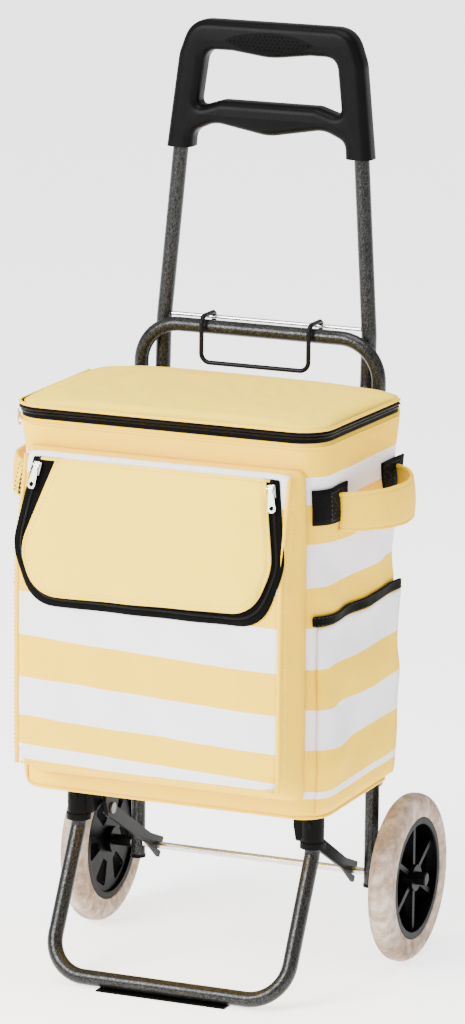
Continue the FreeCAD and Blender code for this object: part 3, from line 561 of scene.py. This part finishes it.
binding_form = bmesh.new()
for word, side in SIDES.items():
    bm = bmesh.new()
    cloth_top = POCKET_MOUTH_Z + 0.002
    wrap(bm, 0.0012, [SIDE_FOOT_Z + (cloth_top - SIDE_FOOT_Z) * i / 24 for i in range(25)], side)
    made = piece("side_pocket_cloth_" + word, bm, STRIPED, "bag", ("side_pocket_" + word,))
    thicken(made, 0.0012, 0.0)
    mouth_band = [POCKET_MOUTH_Z + (BINDING_TOP_Z - POCKET_MOUTH_Z) * share for share in (0, 0.34, 0.67, 1)]
    wrap(binding_form, 0.002, mouth_band, side)
made = piece("pocket_binding", binding_form, WEBBING, "bag", ("side_pocket_bindings",))
thicken(made, 0.0026, 0.0, 1)

# %% [markdown]
# The lid is a foam board between two cloths. It is a crowned, closed form: the middle lifts, the
# edges pull down to the piping, and the far corner sags where nothing holds it. A short Cloth run
# with a little pressure plumps it, and the sag is added after that.

# %% lid
LID_LOW, LID_HIGH = [Vector(c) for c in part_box("lid_panel")]
LID_STEP = 0.009
LID_MARGIN = 0.04
LID_CROWN = 0.0022


def plump(made, pressure, cap, frames=14, voxel=0.005):
    """Lets a closed form swell under its own stuffing, but no point moves more than `cap`."""
    skin = made.modifiers.new("skin", "REMESH")
    skin.mode = "VOXEL"
    skin.voxel_size = voxel
    applied = bpy.data.meshes.new_from_object(made.evaluated_get(bpy.context.evaluated_depsgraph_get()))
    trial = bpy.data.objects.new("trial", applied)
    bpy.context.collection.objects.link(trial)
    made.modifiers.remove(skin)
    start = [v.co.copy() for v in applied.vertices]
    swell = trial.modifiers.new("swell", "CLOTH")
    swell.settings.use_pressure = True
    swell.settings.uniform_pressure_force = pressure
    swell.settings.effector_weights.gravity = 0
    swell.settings.quality = 4
    for number in range(1, frames + 1):
        bpy.context.scene.frame_set(number)
    moved = bpy.data.meshes.new_from_object(trial.evaluated_get(bpy.context.evaluated_depsgraph_get()))
    for vert, first in zip(moved.vertices, start):
        step = vert.co - first
        vert.co = first + step * min(1.0, cap / max(step.length, 1e-9))
    bpy.context.scene.frame_set(1)
    bpy.data.objects.remove(trial)
    finish = made.data.materials[0]
    made.data = moved
    made.data.materials.clear()
    made.data.materials.append(finish)
    for face in made.data.polygons:
        face.use_smooth = True
    print(made.name, "swelled to", len(moved.vertices), "points")


def lid_sag(x, y):
    """How far the lid lies below flat."""
    deep = between(x, 0.0, HALF_X) * between(y, LID_LOW.y, LID_HIGH.y)
    return 0.0045 * deep + 0.0012 * noise.noise(Vector((x * 9, y * 9, 0.3)))


bm = rounded_box(HALF_X + 0.0004, LID_LOW.y + 0.0006, LID_HIGH.y - 0.001,
                 LID_LOW.z + 0.0006, LID_HIGH.z - 0.001, CORNER, LID_STEP)
rim = [e for e in bm.edges if len(e.link_faces) == 2 and e.calc_face_angle(0) > 1.2]
bmesh.ops.bevel(bm, geom=rim, offset=0.0035, segments=3, profile=0.5, affect="EDGES", material=-1)
lid = piece("lid_cloth", bm, CANVAS, "lid", ("lid_panel",))
plump(lid, 1.5, 0.0035)
for vert in lid.data.vertices:
    vert.co.x += flare(*vert.co)
    from_edge = min(HALF_X - abs(vert.co.x), vert.co.y - LID_LOW.y, LID_HIGH.y - vert.co.y)
    reach = min(1.0, from_edge / LID_MARGIN)
    if vert.co.z > (LID_LOW.z + LID_HIGH.z) / 2:
        vert.co.z += LID_CROWN * max(0, reach) - lid_sag(vert.co.x, vert.co.y) * max(0, reach)
lid_edge = [Vector((p.x, p.y, LID_HIGH.z - 0.0036)) for p in around(0.0012, RIM_Z, LID_HIGH.y - 0.03)]
round_cord("lid_piping", lid_edge, 0.0016, DEEP_CANVAS, "lid")
print("lid from", tuple(LID_LOW), "to", tuple(LID_HIGH))

# %% [markdown]
# The mouth's zip is two bands of tape with a coil between them. The lid's band and coil swing with
# the lid, the other half stays on the bag. Small ribs in the coil's own bump stand for its teeth,
# and a painted brown sheen lies on the crests of the ribs.

# %% mouth zip
def ribbed_coil_painted_sheen():
    finish = Finish("ribbed_coil_painted_sheen", specular_ior_level=0.15)
    ribs = finish.sine(finish.axis("X") + finish.axis("Y") + finish.axis("Z"), 0.0016) * 0.5 + 0.5
    # painted sheen: the rib crests are coloured a lighter brown than the near-black grooves
    colour = finish.mix(ribs, (0.0008, 0.0008, 0.0008, 1), (0.007, 0.004, 0.003, 1))
    return finish.paint(colour, 0.5 - ribs * 0.22, ribs, 0.0009, 1.0)


COIL_WITH_PAINTED_SHEEN = ribbed_coil_painted_sheen()
HINGE_Y = BACK_Y - CORNER


def at_mouth(grow, z):
    """The mouth's outline, carried to another height."""
    return [Vector((p.x, p.y, z)) for p in around(grow, RIM_Z, HINGE_Y)]


for name, body, low, high, grow, node in (
        ("lid_zip_band", "lid", LID_LOW.z + 0.0002, LID_LOW.z + 0.0062, 0.0012, "lid_zip_tape"),
        ("body_zip_band", "bag", RIM_Z + 0.0002, RIM_Z + 0.0061, -0.0002, "body_zip_tape")):
    bm = bmesh.new()
    for i in range(4):
        z0, z1 = [low + (high - low) * share / 4 for share in (i, i + 1)]
        strip(bm, at_mouth(grow, z0), at_mouth(grow, z1))
    thicken(piece(name, bm, ZIP_TAPE, body, (node,)), 0.002, -1.0)
for name, body, z, grow in (
        ("lid_coil", "lid", LID_LOW.z + 0.0012, 0.0014),
        ("body_coil", "bag", RIM_Z + 0.0052, 0.0002)):
    round_cord(name, at_mouth(grow, z), 0.0011, COIL_WITH_PAINTED_SHEEN, body)
rim_line = at_mouth(0.0002, RIM_Z - 0.0042)
round_cord("rim_piping", rim_line, 0.0012, DEEP_CANVAS, "bag")
base_line = around(0.0, BAG_LOW.z + 0.002, HINGE_Y)
round_cord("base_piping", base_line, 0.0017, DEEP_CANVAS, "bag")

HINGE_LOW, HINGE_HIGH = [Vector(c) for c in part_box("lid_hinge_strip")]
bm = bmesh.new()
across = [HINGE_LOW.x + (HINGE_HIGH.x - HINGE_LOW.x) * i / 40 for i in range(41)]
back = (HINGE_LOW.y + HINGE_HIGH.y) / 2
hinge_rows = []
for i in range(6):
    z = HINGE_LOW.z + (HINGE_HIGH.z - HINGE_LOW.z) * i / 5
    hinge_rows.append([(x, back + 0.0004 * noise.noise(Vector((x * 30, z * 60, 0))), z) for x in across])
for low, high in zip(hinge_rows, hinge_rows[1:]):
    strip(bm, low, high)
hinge = piece("hinge_cloth", bm, WEBBING, "bag", ("lid_hinge_strip",))
thicken(hinge, 0.001, 0.0)
print("zip bands from", round(RIM_Z, 4), "to", round(LID_LOW.z, 4))

# %% [markdown]
# The front pocket is a box of cloth with a U-shaped zip in its face. All its rings are cut on the
# same rays from one middle point, so that `bridge_loops` joins the mouth to the face's edge and
# the edge to the bag without a twist.

# %% front pocket shape
SHIFT = AXLE.y
FACE_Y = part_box("front_pocket")[0][1]
SLOPE_Z = 0.430
SLOPE = 21 / 98
MIDDLE_Z = 0.455
RAYS = 168
CORNER_POINTS = 9
CORD_STEP = 0.012


def face_y(z):
    return FACE_Y + max(0.0, z - SLOPE_Z) * SLOPE


def swell(x, z):
    """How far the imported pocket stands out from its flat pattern."""
    inside_x = between(0.134 - abs(x), 0, 0.05)
    low = between(z, 0.228, 0.29)
    high = between(0.528 - z, 0, 0.05)
    slow = noise.noise(Vector((x * 9, 4.1, z * 8)))
    crease = noise.noise(Vector((x * 22 + z * 12, 1.7, z * 20 - x * 8)))
    sag = 0.0016 * math.sin((z + abs(x) * 0.35) * 70) * between(0.36 - z, 0, 0.1)
    return inside_x * low * high * (0.0022 + slow * 0.0045 + crease * 0.0034) + sag * inside_x * low


def arc_outline(corners):
    """Rounds the corners (x, z, radius) of a closed outline."""
    points = []
    count = len(corners)
    for i in range(count):
        here = Vector(corners[i][:2])
        into = (here - Vector(corners[i - 1][:2])).normalized()
        out = (Vector(corners[(i + 1) % count][:2]) - here).normalized()
        turn = into.angle(out)
        setback = corners[i][2] * math.tan(turn / 2)
        start, end = here - into * setback, here + out * setback
        for k in range(CORNER_POINTS):
            t = k / (CORNER_POINTS - 1)
            points.append((1 - t) ** 2 * start + 2 * t * (1 - t) * here + t * t * end)
    return points


def both_halves(right):
    """A right half's corners, then the same ones mirrored to the left."""
    return right + [(-x, z, r) for x, z, r in reversed(right)]


def zip_u(grow, top):
    """The closed U that the zip follows, grown outwards, with its top side at a height."""
    return arc_outline(both_halves([
        (0.117 + grow, top, 0.004), (0.131 + grow, 0.442, 0.048),
        (0.112 + 0.7 * grow, 0.393 - grow, 0.036)]))


def on_ray(shape, angle):
    """Where a ray from the middle point crosses a closed outline."""
    way = Vector((math.sin(angle), math.cos(angle)))
    origin = Vector((0, MIDDLE_Z))
    best = 0.0
    for a, b in zip(shape, shape[1:] + shape[:1]):
        a, b = a - origin, b - origin
        run = b - a
        under = way.x * run.y - way.y * run.x
        if abs(under) < 1e-12:
            continue
        along = (a.x * run.y - a.y * run.x) / under
        share = (a.x * way.y - a.y * way.x) / under
        if -1e-9 <= share <= 1 + 1e-9:
            best = max(best, along)
    return origin + way * best


ANGLES = [2 * math.pi * i / RAYS for i in range(RAYS)]


def ring_of(shape):
    return [on_ray(shape, angle) for angle in ANGLES]


def loop_edges(bm, points):
    verts = [bm.verts.new(p) for p in points]
    return [bm.edges.new(pair) for pair in zip(verts, verts[1:] + verts[:1])]


def rings(bm, loops):
    """Bridges each closed ring of points to the next one."""
    previous = loop_edges(bm, loops[0])
    for points in loops[1:]:
        following = loop_edges(bm, points)
        bmesh.ops.bridge_loops(bm, edges=previous + following)
        previous = following


def face_rings(inner, outer, count, offset):
    """Rings on the pocket's face, from one flat outline to another."""
    a, b = ring_of(inner), ring_of(outer)
    loops = []
    for i in range(count + 1):
        flat = [p.lerp(q, i / count) for p, q in zip(a, b)]
        loops.append([Vector((p.x, face_y(p.y) - swell(p.x, p.y) - offset, p.y)) for p in flat])
    return loops


MOUTH = zip_u(-0.0085, 0.516)
FACE_EDGE = arc_outline(both_halves([(0.129, 0.523, 0.006), (0.129, 0.233, 0.016)]))
BACK_EDGE = arc_outline(both_halves([(0.1415, 0.5285, 0.004), (0.1415, 0.2085, 0.01)]))
loops = face_rings(MOUTH, FACE_EDGE, 16, 0.0)
edge, root = ring_of(FACE_EDGE), ring_of(BACK_EDGE)
for k in range(1, 5):
    turn = math.pi / 2 * k / 4
    ring = []
    for p in edge:
        wide = 0.005 if p.x > 0.1 else -0.005 if p.x < -0.1 else 0
        tall = 0.004 if p.y > 0.5 else -0.005 if p.y < 0.26 else 0
        q = p + Vector((wide, tall)) * math.sin(turn)
        ring.append(Vector((q.x, face_y(q.y) + 0.006 * (1 - math.cos(turn)), q.y)))
    loops.append(ring)
last = loops[-1]
gusset = [last]
for k in range(1, 6):
    share = k / 5
    ring = []
    for p, q in zip(last, root):
        end = Vector((q.x, front_y(q.y) - 0.0012, q.y))
        spot = p.lerp(end, share)
        bow = math.sin(math.pi * share)
        crumple = noise.noise(Vector((spot.x * 10, share * 2, spot.z * 26)))
        if abs(p.x) > 0.12:
            spot.x -= math.copysign(0.0045 * bow * (1 - crumple * 1.2), p.x)
        else:
            spot.z += 0.0012 * bow * crumple
        ring.append(spot)
    gusset.append(ring)
bm = bmesh.new()
rings(bm, loops)
pocket = piece("pocket_cloth", bm, POCKET_STRIPED, "bag", ("front_pocket",))
thicken(pocket, 0.0016, -1.0)
bm = bmesh.new()
rings(bm, gusset)
sides = piece("pocket_gusset", bm, DEEP_CANVAS, "bag")
thicken(sides, 0.0014, -1.0)

# %% [markdown]
# The pocket's zip tape lies on the face, and the flap fills the U inside it. The flap's lower left
# laps further over the tape than the rest, because it was sewn a little askew.

# %% pocket zip and flap
TAPE_TOP = 0.5235
TAPE_HALF = 0.0075
TAPE_PROUD = 0.0009
TAPE_STEPS = 150


def open_u(shape):
    """A closed U without its top side: from the top right, down and round to the top left."""
    return shape[CORNER_POINTS // 2:-(CORNER_POINTS // 2)]


def fine(points, step=0.006):
    """The same line with points at even, small steps."""
    made = [points[0]]
    for a, b in zip(points, points[1:]):
        count = max(1, round((b - a).length / step))
        made += [a.lerp(b, i / count) for i in range(1, count + 1)]
    return made


def pick(points, count):
    """Evenly chosen points of a line, so that two lines can be joined pair by pair."""
    return [points[round(i * (len(points) - 1) / count)] for i in range(count + 1)]


def on_face(flat, offset):
    """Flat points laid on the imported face, standing out from it by the offset."""
    return [Vector((p.x, face_y(p.y) - swell(p.x, p.y) - offset, p.y)) for p in flat]


bm = bmesh.new()
outer_u = pick(fine(open_u(zip_u(TAPE_HALF, TAPE_TOP))), TAPE_STEPS)
inner_u = pick(fine(open_u(zip_u(-TAPE_HALF, TAPE_TOP))), TAPE_STEPS)
inner_u = [p + Vector((0.012 * between(-p.x, 0.0, 0.1) * between(p.y, 0.43, 0.52), 0)) for p in inner_u]
for i in range(3):
    a = [p.lerp(q, i / 3) for p, q in zip(outer_u, inner_u)]
    b = [p.lerp(q, (i + 1) / 3) for p, q in zip(outer_u, inner_u)]
    strip(bm, on_face(a, TAPE_PROUD), on_face(b, TAPE_PROUD))
tape = piece("pocket_zip_band", bm, ZIP_TAPE, "bag", ("pocket_zip_tape",))
thicken(tape, 0.0011, 0.0)
coil_line = fine(open_u(zip_u(0.0004, TAPE_TOP)), CORD_STEP)
round_cord("pocket_coil", on_face(coil_line, 0.0018), 0.0014, COIL_WITH_PAINTED_SHEEN, "bag")

FLAP_TOP = 0.5215
FLAP_PROUD = 0.0034
FLAP_EDGE = zip_u(-0.0058, FLAP_TOP)
FLAP_EDGE = [p + Vector((-0.0042 * between(-p.x, 0.03, 0.11) * between(0.5 - p.y, 0, 0.09)
                         + 0.011 * between(-p.x, 0.0, 0.1) * between(p.y, 0.43, 0.52),
                         -0.003 * between(-p.x, 0, 0.1) * between(0.46 - p.y, 0, 0.05))) for p in FLAP_EDGE]


def quilt(x, z):
    """The flap's own padding, on top of the pocket's swell."""
    near = min(0.131 - abs(x), z - 0.39, FLAP_TOP - z)
    return 0.0024 * between(near, 0.0, 0.026) + 0.0006 * noise.noise(Vector((x * 25, 7.7, z * 25)))


def on_flap(flat, offset):
    """Flat points laid on the padded flap."""
    return [Vector((p.x, face_y(p.y) - swell(p.x, p.y) - offset - quilt(p.x, p.y), p.y)) for p in flat]


CENTRE = Vector((0, MIDDLE_Z))
edge_ring = ring_of(FLAP_EDGE)
front_loops, back_loops = [], []
for i in range(5, 16):
    flat = [CENTRE.lerp(q, (i / 15) ** 0.85) for q in edge_ring]
    front_loops.append(on_flap(flat, FLAP_PROUD))
    back_loops.append(on_face(flat, 0.0022))
bm = bmesh.new()
rings(bm, front_loops + back_loops[::-1])
ends = [e for e in bm.edges if e.is_boundary]
for middle in bmesh.ops.holes_fill(bm, edges=ends)["faces"]:
    bmesh.ops.poke(bm, faces=[middle])
flap = piece("flap_cloth", bm, CANVAS, "flap", ("pocket_flap",))
edge_line = fine(open_u(FLAP_EDGE), CORD_STEP)
round_cord("flap_piping", on_face(edge_line, FLAP_PROUD), 0.0014, CANVAS, "flap")
top_edge = fine([Vector((0.116, FLAP_TOP)), Vector((-0.116, FLAP_TOP))], 0.02)
round_cord("flap_fold", on_face(top_edge, 0.003), 0.0014, CANVAS, "flap")
fold_line = fine([Vector((0.1338, 0.524)), Vector((0.1338, 0.2285))], 0.03)
for word, side in SIDES.items():
    path = []
    for p in fold_line:
        waver = 0.0012 * noise.noise(Vector((side, p.y * 14, 0)))
        path.append(Vector((side * p.x, face_y(p.y) + 0.0012 + waver, p.y)))
    round_cord("pocket_piping_" + word, path, 0.0023, DEEP_CANVAS, "bag")
foot_line = [Vector((x / 100, face_y(0.23) + 0.0016, 0.2292)) for x in range(-13, 14)]
round_cord("pocket_foot_piping", foot_line, 0.0015, DEEP_CANVAS, "bag")
print("pocket face at", round(FACE_Y, 4))

# %% [markdown]
# Carrying handles are flat bands that bow out from the sides. Their ends go under squares of black
# webbing, which are sewn down with a box of stitches.

# %% carrying handles and webbing
WEB_LOW, WEB_HIGH = [Vector(c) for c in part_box("handle_webbing")]
CARRY_LOW, CARRY_HIGH = [Vector(c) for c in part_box("side_handle_right")]
PATCH_PROUD = 0.0013
FRONT_PATCH_END = SHIFT - 0.162
REAR_PATCH_START = SHIFT - 0.076
REAR_PATCH = 0.05
patches = bmesh.new()
for side in SIDES.values():
    heights = [WEB_LOW.z + (WEB_HIGH.z - WEB_LOW.z) * i / 6 for i in range(7)]
    for z0, z1 in zip(heights, heights[1:]):
        strip(patches, outline(PATCH_PROUD, z0, 0.143, FRONT_PATCH_END, side),
              outline(PATCH_PROUD, z1, 0.143, FRONT_PATCH_END, side))
        rear = [(side * (HALF_X + PATCH_PROUD), REAR_PATCH_START + REAR_PATCH * i / 8) for i in range(9)]
        strip(patches, [settle((x, y, z0)) for x, y in rear], [settle((x, y, z1)) for x, y in rear])
webbing = piece("handle_ends", patches, WEBBING, "bag", ("handle_webbing",))
thicken(webbing, 0.0018, 0.0)

BOW = CARRY_HIGH.x - HALF_X - 0.0035
HALF_LENGTH = (CARRY_HIGH.y - CARRY_LOW.y) / 2
CARRY_Y = (CARRY_HIGH.y + CARRY_LOW.y) / 2
for word, side in SIDES.items():
    bm = bmesh.new()
    lines = []
    for k in range(7):
        share = k / 6
        line = []
        for i in range(41):
            t = i / 20 - 1
            bow = BOW * (1 - t * t) ** 0.8 * (1 - 0.05 * share) + 0.0035
            droop = 0.003 * (1 - t * t) * (1 - share)
            ripple = 0.0012 * noise.noise(Vector((t * 3, share * 2, side * 3)))
            z = CARRY_LOW.z + (CARRY_HIGH.z - CARRY_LOW.z) * share - droop + ripple
            curl = 0.0016 * (2 * share - 1) ** 2
            line.append((side * (HALF_X + bow - curl), CARRY_Y + 0.007 + (HALF_LENGTH - 0.008) * t, z))
        lines.append(line)
    for a, b in zip(lines, lines[1:]):
        strip(bm, a, b)
    band = piece("carry_band_" + word, bm, DEEP_CANVAS, "bag", ("side_handle_" + word,))
    thicken(band, 0.0034, 0.0, 1)
    for name, line in (("low", lines[0]), ("high", lines[-1])):
        round_cord("carry_edge_%s_%s" % (name, word), line, 0.0019, DEEP_CANVAS, "bag")
print("handles bow out", round(BOW, 4))

# %% [markdown]
# Webbing loops hold the bag to the legs. They are rings of band, a little oval and uneven.

# %% leg loops
loops_form = bmesh.new()
LOOP_LOW, LOOP_HIGH = [Vector(c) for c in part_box("frame_straps")]
LEG_X = LOOP_HIGH.x - 0.0088
LOOP_BAND = 0.025
LOOP_RADIUS = 0.0081
for side in SIDES.values():
    for base in (LOOP_LOW.z, LOOP_HIGH.z - LOOP_BAND):
        bands = []
        for k in range(7):
            z = base + LOOP_BAND * k / 6
            ring = []
            for i in range(32):
                turn = 2 * math.pi * i / 32
                radius = LOOP_RADIUS + 0.0003 * math.sin(3 * turn + base * 40)
                x, y = side * LEG_X + radius * math.cos(turn), SHIFT + radius * math.sin(turn)
                ring.append(Vector((x, y, z)))
            bands.append(ring)
        rings(loops_form, bands)
straps = piece("leg_loops", loops_form, WEBBING, "frame", ("frame_straps",))
thicken(straps, 0.0013, 0.0)
print("leg loops round x", round(LEG_X, 4))

# %% [markdown]
# Stitches are small rounded dashes on the surface. One mesh holds a whole colour of thread, so
# the count stays low, and each dash follows the line it sits on.

# %% stitches
THREAD_PALE = cloth("pale_thread", plain((0.92, 0.6, 0.08, 1)))
THREAD_BLACK = moulded("thread_black", 0.03, 0.6, 2000)


def stitches(name, lines, finish, body, pitch=0.0042, size=0.00055):
    """Dashes along each line of points."""
    bm = bmesh.new()
    for line in lines:
        walked, due = 0.0, pitch / 2
        for a, b in zip(line, line[1:]):
            a, b = Vector(a), Vector(b)
            length = (b - a).length
            while due <= walked + length:
                spot = a.lerp(b, (due - walked) / length)
                made = bmesh.ops.create_icosphere(bm, subdivisions=1, radius=size)
                turn = Vector((1, 0, 0)).rotation_difference((b - a).normalized()).to_matrix().to_4x4()
                shape = Matrix.Translation(spot) @ turn @ Matrix.Diagonal((pitch * 0.32 / size, 1, 1, 1))
                bmesh.ops.transform(bm, matrix=shape, verts=made["verts"])
                due += pitch
            walked += length
    return piece(name, bm, finish, body)


inner_line = [Vector((p.x * 0.965, MIDDLE_Z + (p.y - MIDDLE_Z) * 0.925)) for p in open_u(FLAP_EDGE)]
flap_line = on_flap(fine(inner_line), FLAP_PROUD + 0.0002)
stitches("flap_stitches", [flap_line], THREAD_PALE, "flap")
boxes = []
for side in SIDES.values():
    for y0, y1 in ((SHIFT - 0.205, SHIFT - 0.175), (SHIFT - 0.073, SHIFT - 0.029)):
        z0, z1 = WEB_LOW.z + 0.004, WEB_HIGH.z - 0.004
        frame_line = [(y0, z0), (y1, z0), (y1, z1), (y0, z1), (y0, z0), (y1, z1), (y1, z0), (y0, z1)]
        spots = []
        for (ya, za), (yb, zb) in zip(frame_line, frame_line[1:]):
            spots += [(ya + (yb - ya) * i / 6, za + (zb - za) * i / 6) for i in range(6)]
        boxes.append([settle((side * (HALF_X + 0.0024), y, z)) for y, z in spots])
stitches("webbing_stitches", boxes, THREAD_BLACK, "bag")
mouth_lines = []
for side in SIDES.values():
    for z in (POCKET_MOUTH_Z + 0.002, BINDING_TOP_Z - 0.0015):
        mouth_lines.append(outline(0.0036, z, SIDE_START_X, POCKET_REAR_Y, side))
stitches("binding_stitches", mouth_lines, THREAD_BLACK, "bag")
stitch_heights = [0.24 + 0.01 * i for i in range(28)]
side_lines = []
for side in SIDES.values():
    side_lines.append([Vector((side * 0.1385, face_y(z) + 0.0052, z)) for z in stitch_heights])
stitches("pocket_stitches", side_lines, THREAD_PALE, "bag")
print("stitched")

# %% [markdown]
# The grip is one smooth moulding. Its flat outline is a closed 2-D curve with a round bevel, so
# every edge rolls over like a tube. The sleeves are cut off square below, where the tubes go in.

# %% grip
GRIP_LOW, GRIP_HIGH = [Vector(c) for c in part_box("handle_grip")]
LEAN = 0.043
SLEEVE_Z = 0.7815
SLEEVE_Y = SHIFT + 0.023
THICK = 0.013
ROLL = 0.0085
TOP = 0.906
SHORTEST = 0.0006


grip_rim = arc_outline([(0, SLEEVE_Z + 0.0155, 0.05)] + both_halves([
    (0.057, SLEEVE_Z + 0.0255, 0.03), (0.079, SLEEVE_Z + 0.0155, 0.012), (0.081, SLEEVE_Z - 0.012, 0.001),
    (0.1078, SLEEVE_Z - 0.012, 0.001), (0.096, TOP - 0.034, 0.04), (0.084, TOP, 0.028)]))
grip_window = arc_outline([(0, TOP - 0.034, 0.08)] + both_halves([
    (0.04, TOP - 0.029, 0.03), (0.068, TOP - 0.029, 0.014), (0.075, SLEEVE_Z + 0.0395, 0.006),
    (0.05, SLEEVE_Z + 0.0475, 0.02)]))
curve = bpy.data.curves.new("grip_outline", "CURVE")
curve.dimensions = "2D"
curve.fill_mode = "BOTH"
for shape in (grip_rim, grip_window):
    flat = [shape[0]]
    for p in shape[1:]:
        if (p - flat[-1]).length > SHORTEST:
            flat.append(p)
    if (flat[0] - flat[-1]).length < SHORTEST:
        flat.pop()
    line = curve.splines.new("POLY")
    line.points.add(len(flat) - 1)
    for spot, p in zip(line.points, flat):
        spot.co = (p.x, p.y, 0, 1)
    line.use_cyclic_u = True
curve.offset = -ROLL
curve.extrude = THICK - ROLL
curve.bevel_depth = ROLL
curve.bevel_resolution = 5
bm = bmesh.new()
bm.from_mesh(bpy.data.meshes.new_from_object(bpy.data.objects.new("grip_outline", curve)))
for vert in bm.verts:
    x, z, y = vert.co
    vert.co = Vector((x, SLEEVE_Y - y + (z - SLEEVE_Z) * LEAN, z))
bmesh.ops.remove_doubles(bm, verts=bm.verts, dist=0.00002)
bmesh.ops.bisect_plane(bm, geom=bm.verts[:] + bm.edges[:] + bm.faces[:], plane_co=(0, 0, SLEEVE_Z),
                       plane_no=(0, 0, 1), clear_inner=True)
bmesh.ops.holes_fill(bm, edges=[e for e in bm.edges if e.is_boundary])
grip = piece("grip_moulding", bm, GRIP_PLASTIC, "handle", ("handle_grip",))
grip.data.set_sharp_from_angle(angle=math.radians(50))

DOT_RADIUS = 0.00095
DOT_PITCH = 0.0045
pad_z = mid("grip_pad").z


def grip_front(z):
    """The leaning front surface of the grip at a height."""
    return SLEEVE_Y + (z - SLEEVE_Z) * LEAN - THICK


pad = bmesh.new()
rows_of_pad = []
for i in range(33):
    t = i / 16 - 1
    x = t * 0.0455
    up = 0.0092 * (1 - t * t) ** 0.8 + 0.0003
    down = 0.0102 * (1 - t * t) ** 0.8 + 0.0003
    column = []
    for k in range(9):
        share = k / 8
        z = pad_z - 0.001 + up - (up + down) * share
        proud = 0.0012 * (1 - (2 * share - 1) ** 4) * (1 - t ** 6)
        column.append((x, grip_front(z) - 0.0001 - proud, z))
    rows_of_pad.append(column)
for a, b in zip(rows_of_pad, rows_of_pad[1:]):
    strip(pad, a, b)
for i in range(-9, 10):
    for k in range(-2, 3):
        x = i * DOT_PITCH + (DOT_PITCH / 2 if k % 2 else 0)
        reach = (1 - min(1, abs(x) / 0.044) ** 2) * 0.0078
        z = pad_z - 0.0014 + k * 0.0033
        if abs(z - pad_z + 0.0014) < reach:
            dot = bmesh.ops.create_icosphere(pad, subdivisions=2, radius=DOT_RADIUS)
            bmesh.ops.translate(pad, verts=dot["verts"], vec=(x, grip_front(z) - 0.0012, z))
GRIP_RUBBER = moulded("grip_rubber", 0.0015, 0.62, 900)
piece("dotted_pad", pad, GRIP_RUBBER, "handle", ("grip_pad",))
print("grip from", tuple(GRIP_LOW), "to", tuple(GRIP_HIGH))

# %% [markdown]
# A large pale floor, a white world, one broad key light from the front left, a weak fill and a
# soft light from above. The floor glows, so that it stays pale. The camera has a long lens and
# looks from a little above and to one side.

# %% floor, light and camera
floor_form = bmesh.new()
bmesh.ops.create_grid(floor_form, x_segments=1, y_segments=1, size=20.0)
floor_mesh = bpy.data.meshes.new("floor")
floor_form.to_mesh(floor_mesh)
floor_form.free()
floor = bpy.data.objects.new("floor", floor_mesh)
bpy.context.collection.objects.link(floor)
FLOOR = Finish("pale_floor", base_color=(0.95, 0.95, 0.95, 1), roughness=0.9, specular_ior_level=0.1,
               emission_color=(1, 1, 1, 1), emission_strength=2.2)
floor_mesh.materials.append(FLOOR.paint(rough=FLOOR.grain(3, 2) * 0.1 + 0.85))

world = bpy.data.worlds.new("studio")
world.use_nodes = True
world.node_tree.nodes["Background"].inputs["Color"].default_value = (1, 1, 1, 1)
world.node_tree.nodes["Background"].inputs["Strength"].default_value = 0.75
bpy.context.scene.world = world


def lamp(name, place, aim, size, power):
    light = bpy.data.lights.new(name, "AREA")
    light.shape = "RECTANGLE"
    light.size, light.size_y = size
    light.energy = power
    holder = bpy.data.objects.new(name, light)
    bpy.context.collection.objects.link(holder)
    way = Vector(place) - Vector(aim)
    holder.rotation_euler = way.to_track_quat("Z", "Y").to_euler()
    holder.location = place


lamp("key", (-1.3, -2.6, 2.0), (0, 0, 0.45), (1.6, 1.6), 250)
lamp("fill", (2.6, -0.8, 1.4), (0, 0, 0.5), (1.2, 1.8), 6)
lamp("top", (0.2, -0.3, 2.6), (0, 0, 0.5), (1.4, 1.4), 60)

CAMERA_SPOT = (2.0615, -4.8261, 1.6229)
CAMERA_LENS = 197.6
turn, lift, roll = math.radians(23.0), math.radians(12.6), math.radians(0.6)
back = Vector((math.sin(turn) * math.cos(lift), -math.cos(turn) * math.cos(lift), math.sin(lift)))
right = Vector((math.cos(turn), math.sin(turn), 0))
up = back.cross(right)
tilted_right = right * math.cos(roll) + up * math.sin(roll)
tilted_up = up * math.cos(roll) - right * math.sin(roll)
lens = bpy.data.cameras.new("camera")
lens.lens = CAMERA_LENS
lens.sensor_width = 36
lens.clip_end = 100
camera = bpy.data.objects.new("camera", lens)
place = Matrix((tilted_right, tilted_up, back)).transposed().to_4x4()
place.translation = CAMERA_SPOT
camera.matrix_world = place
bpy.context.collection.objects.link(camera)
bpy.context.scene.camera = camera
print("camera at", tuple(camera.location))
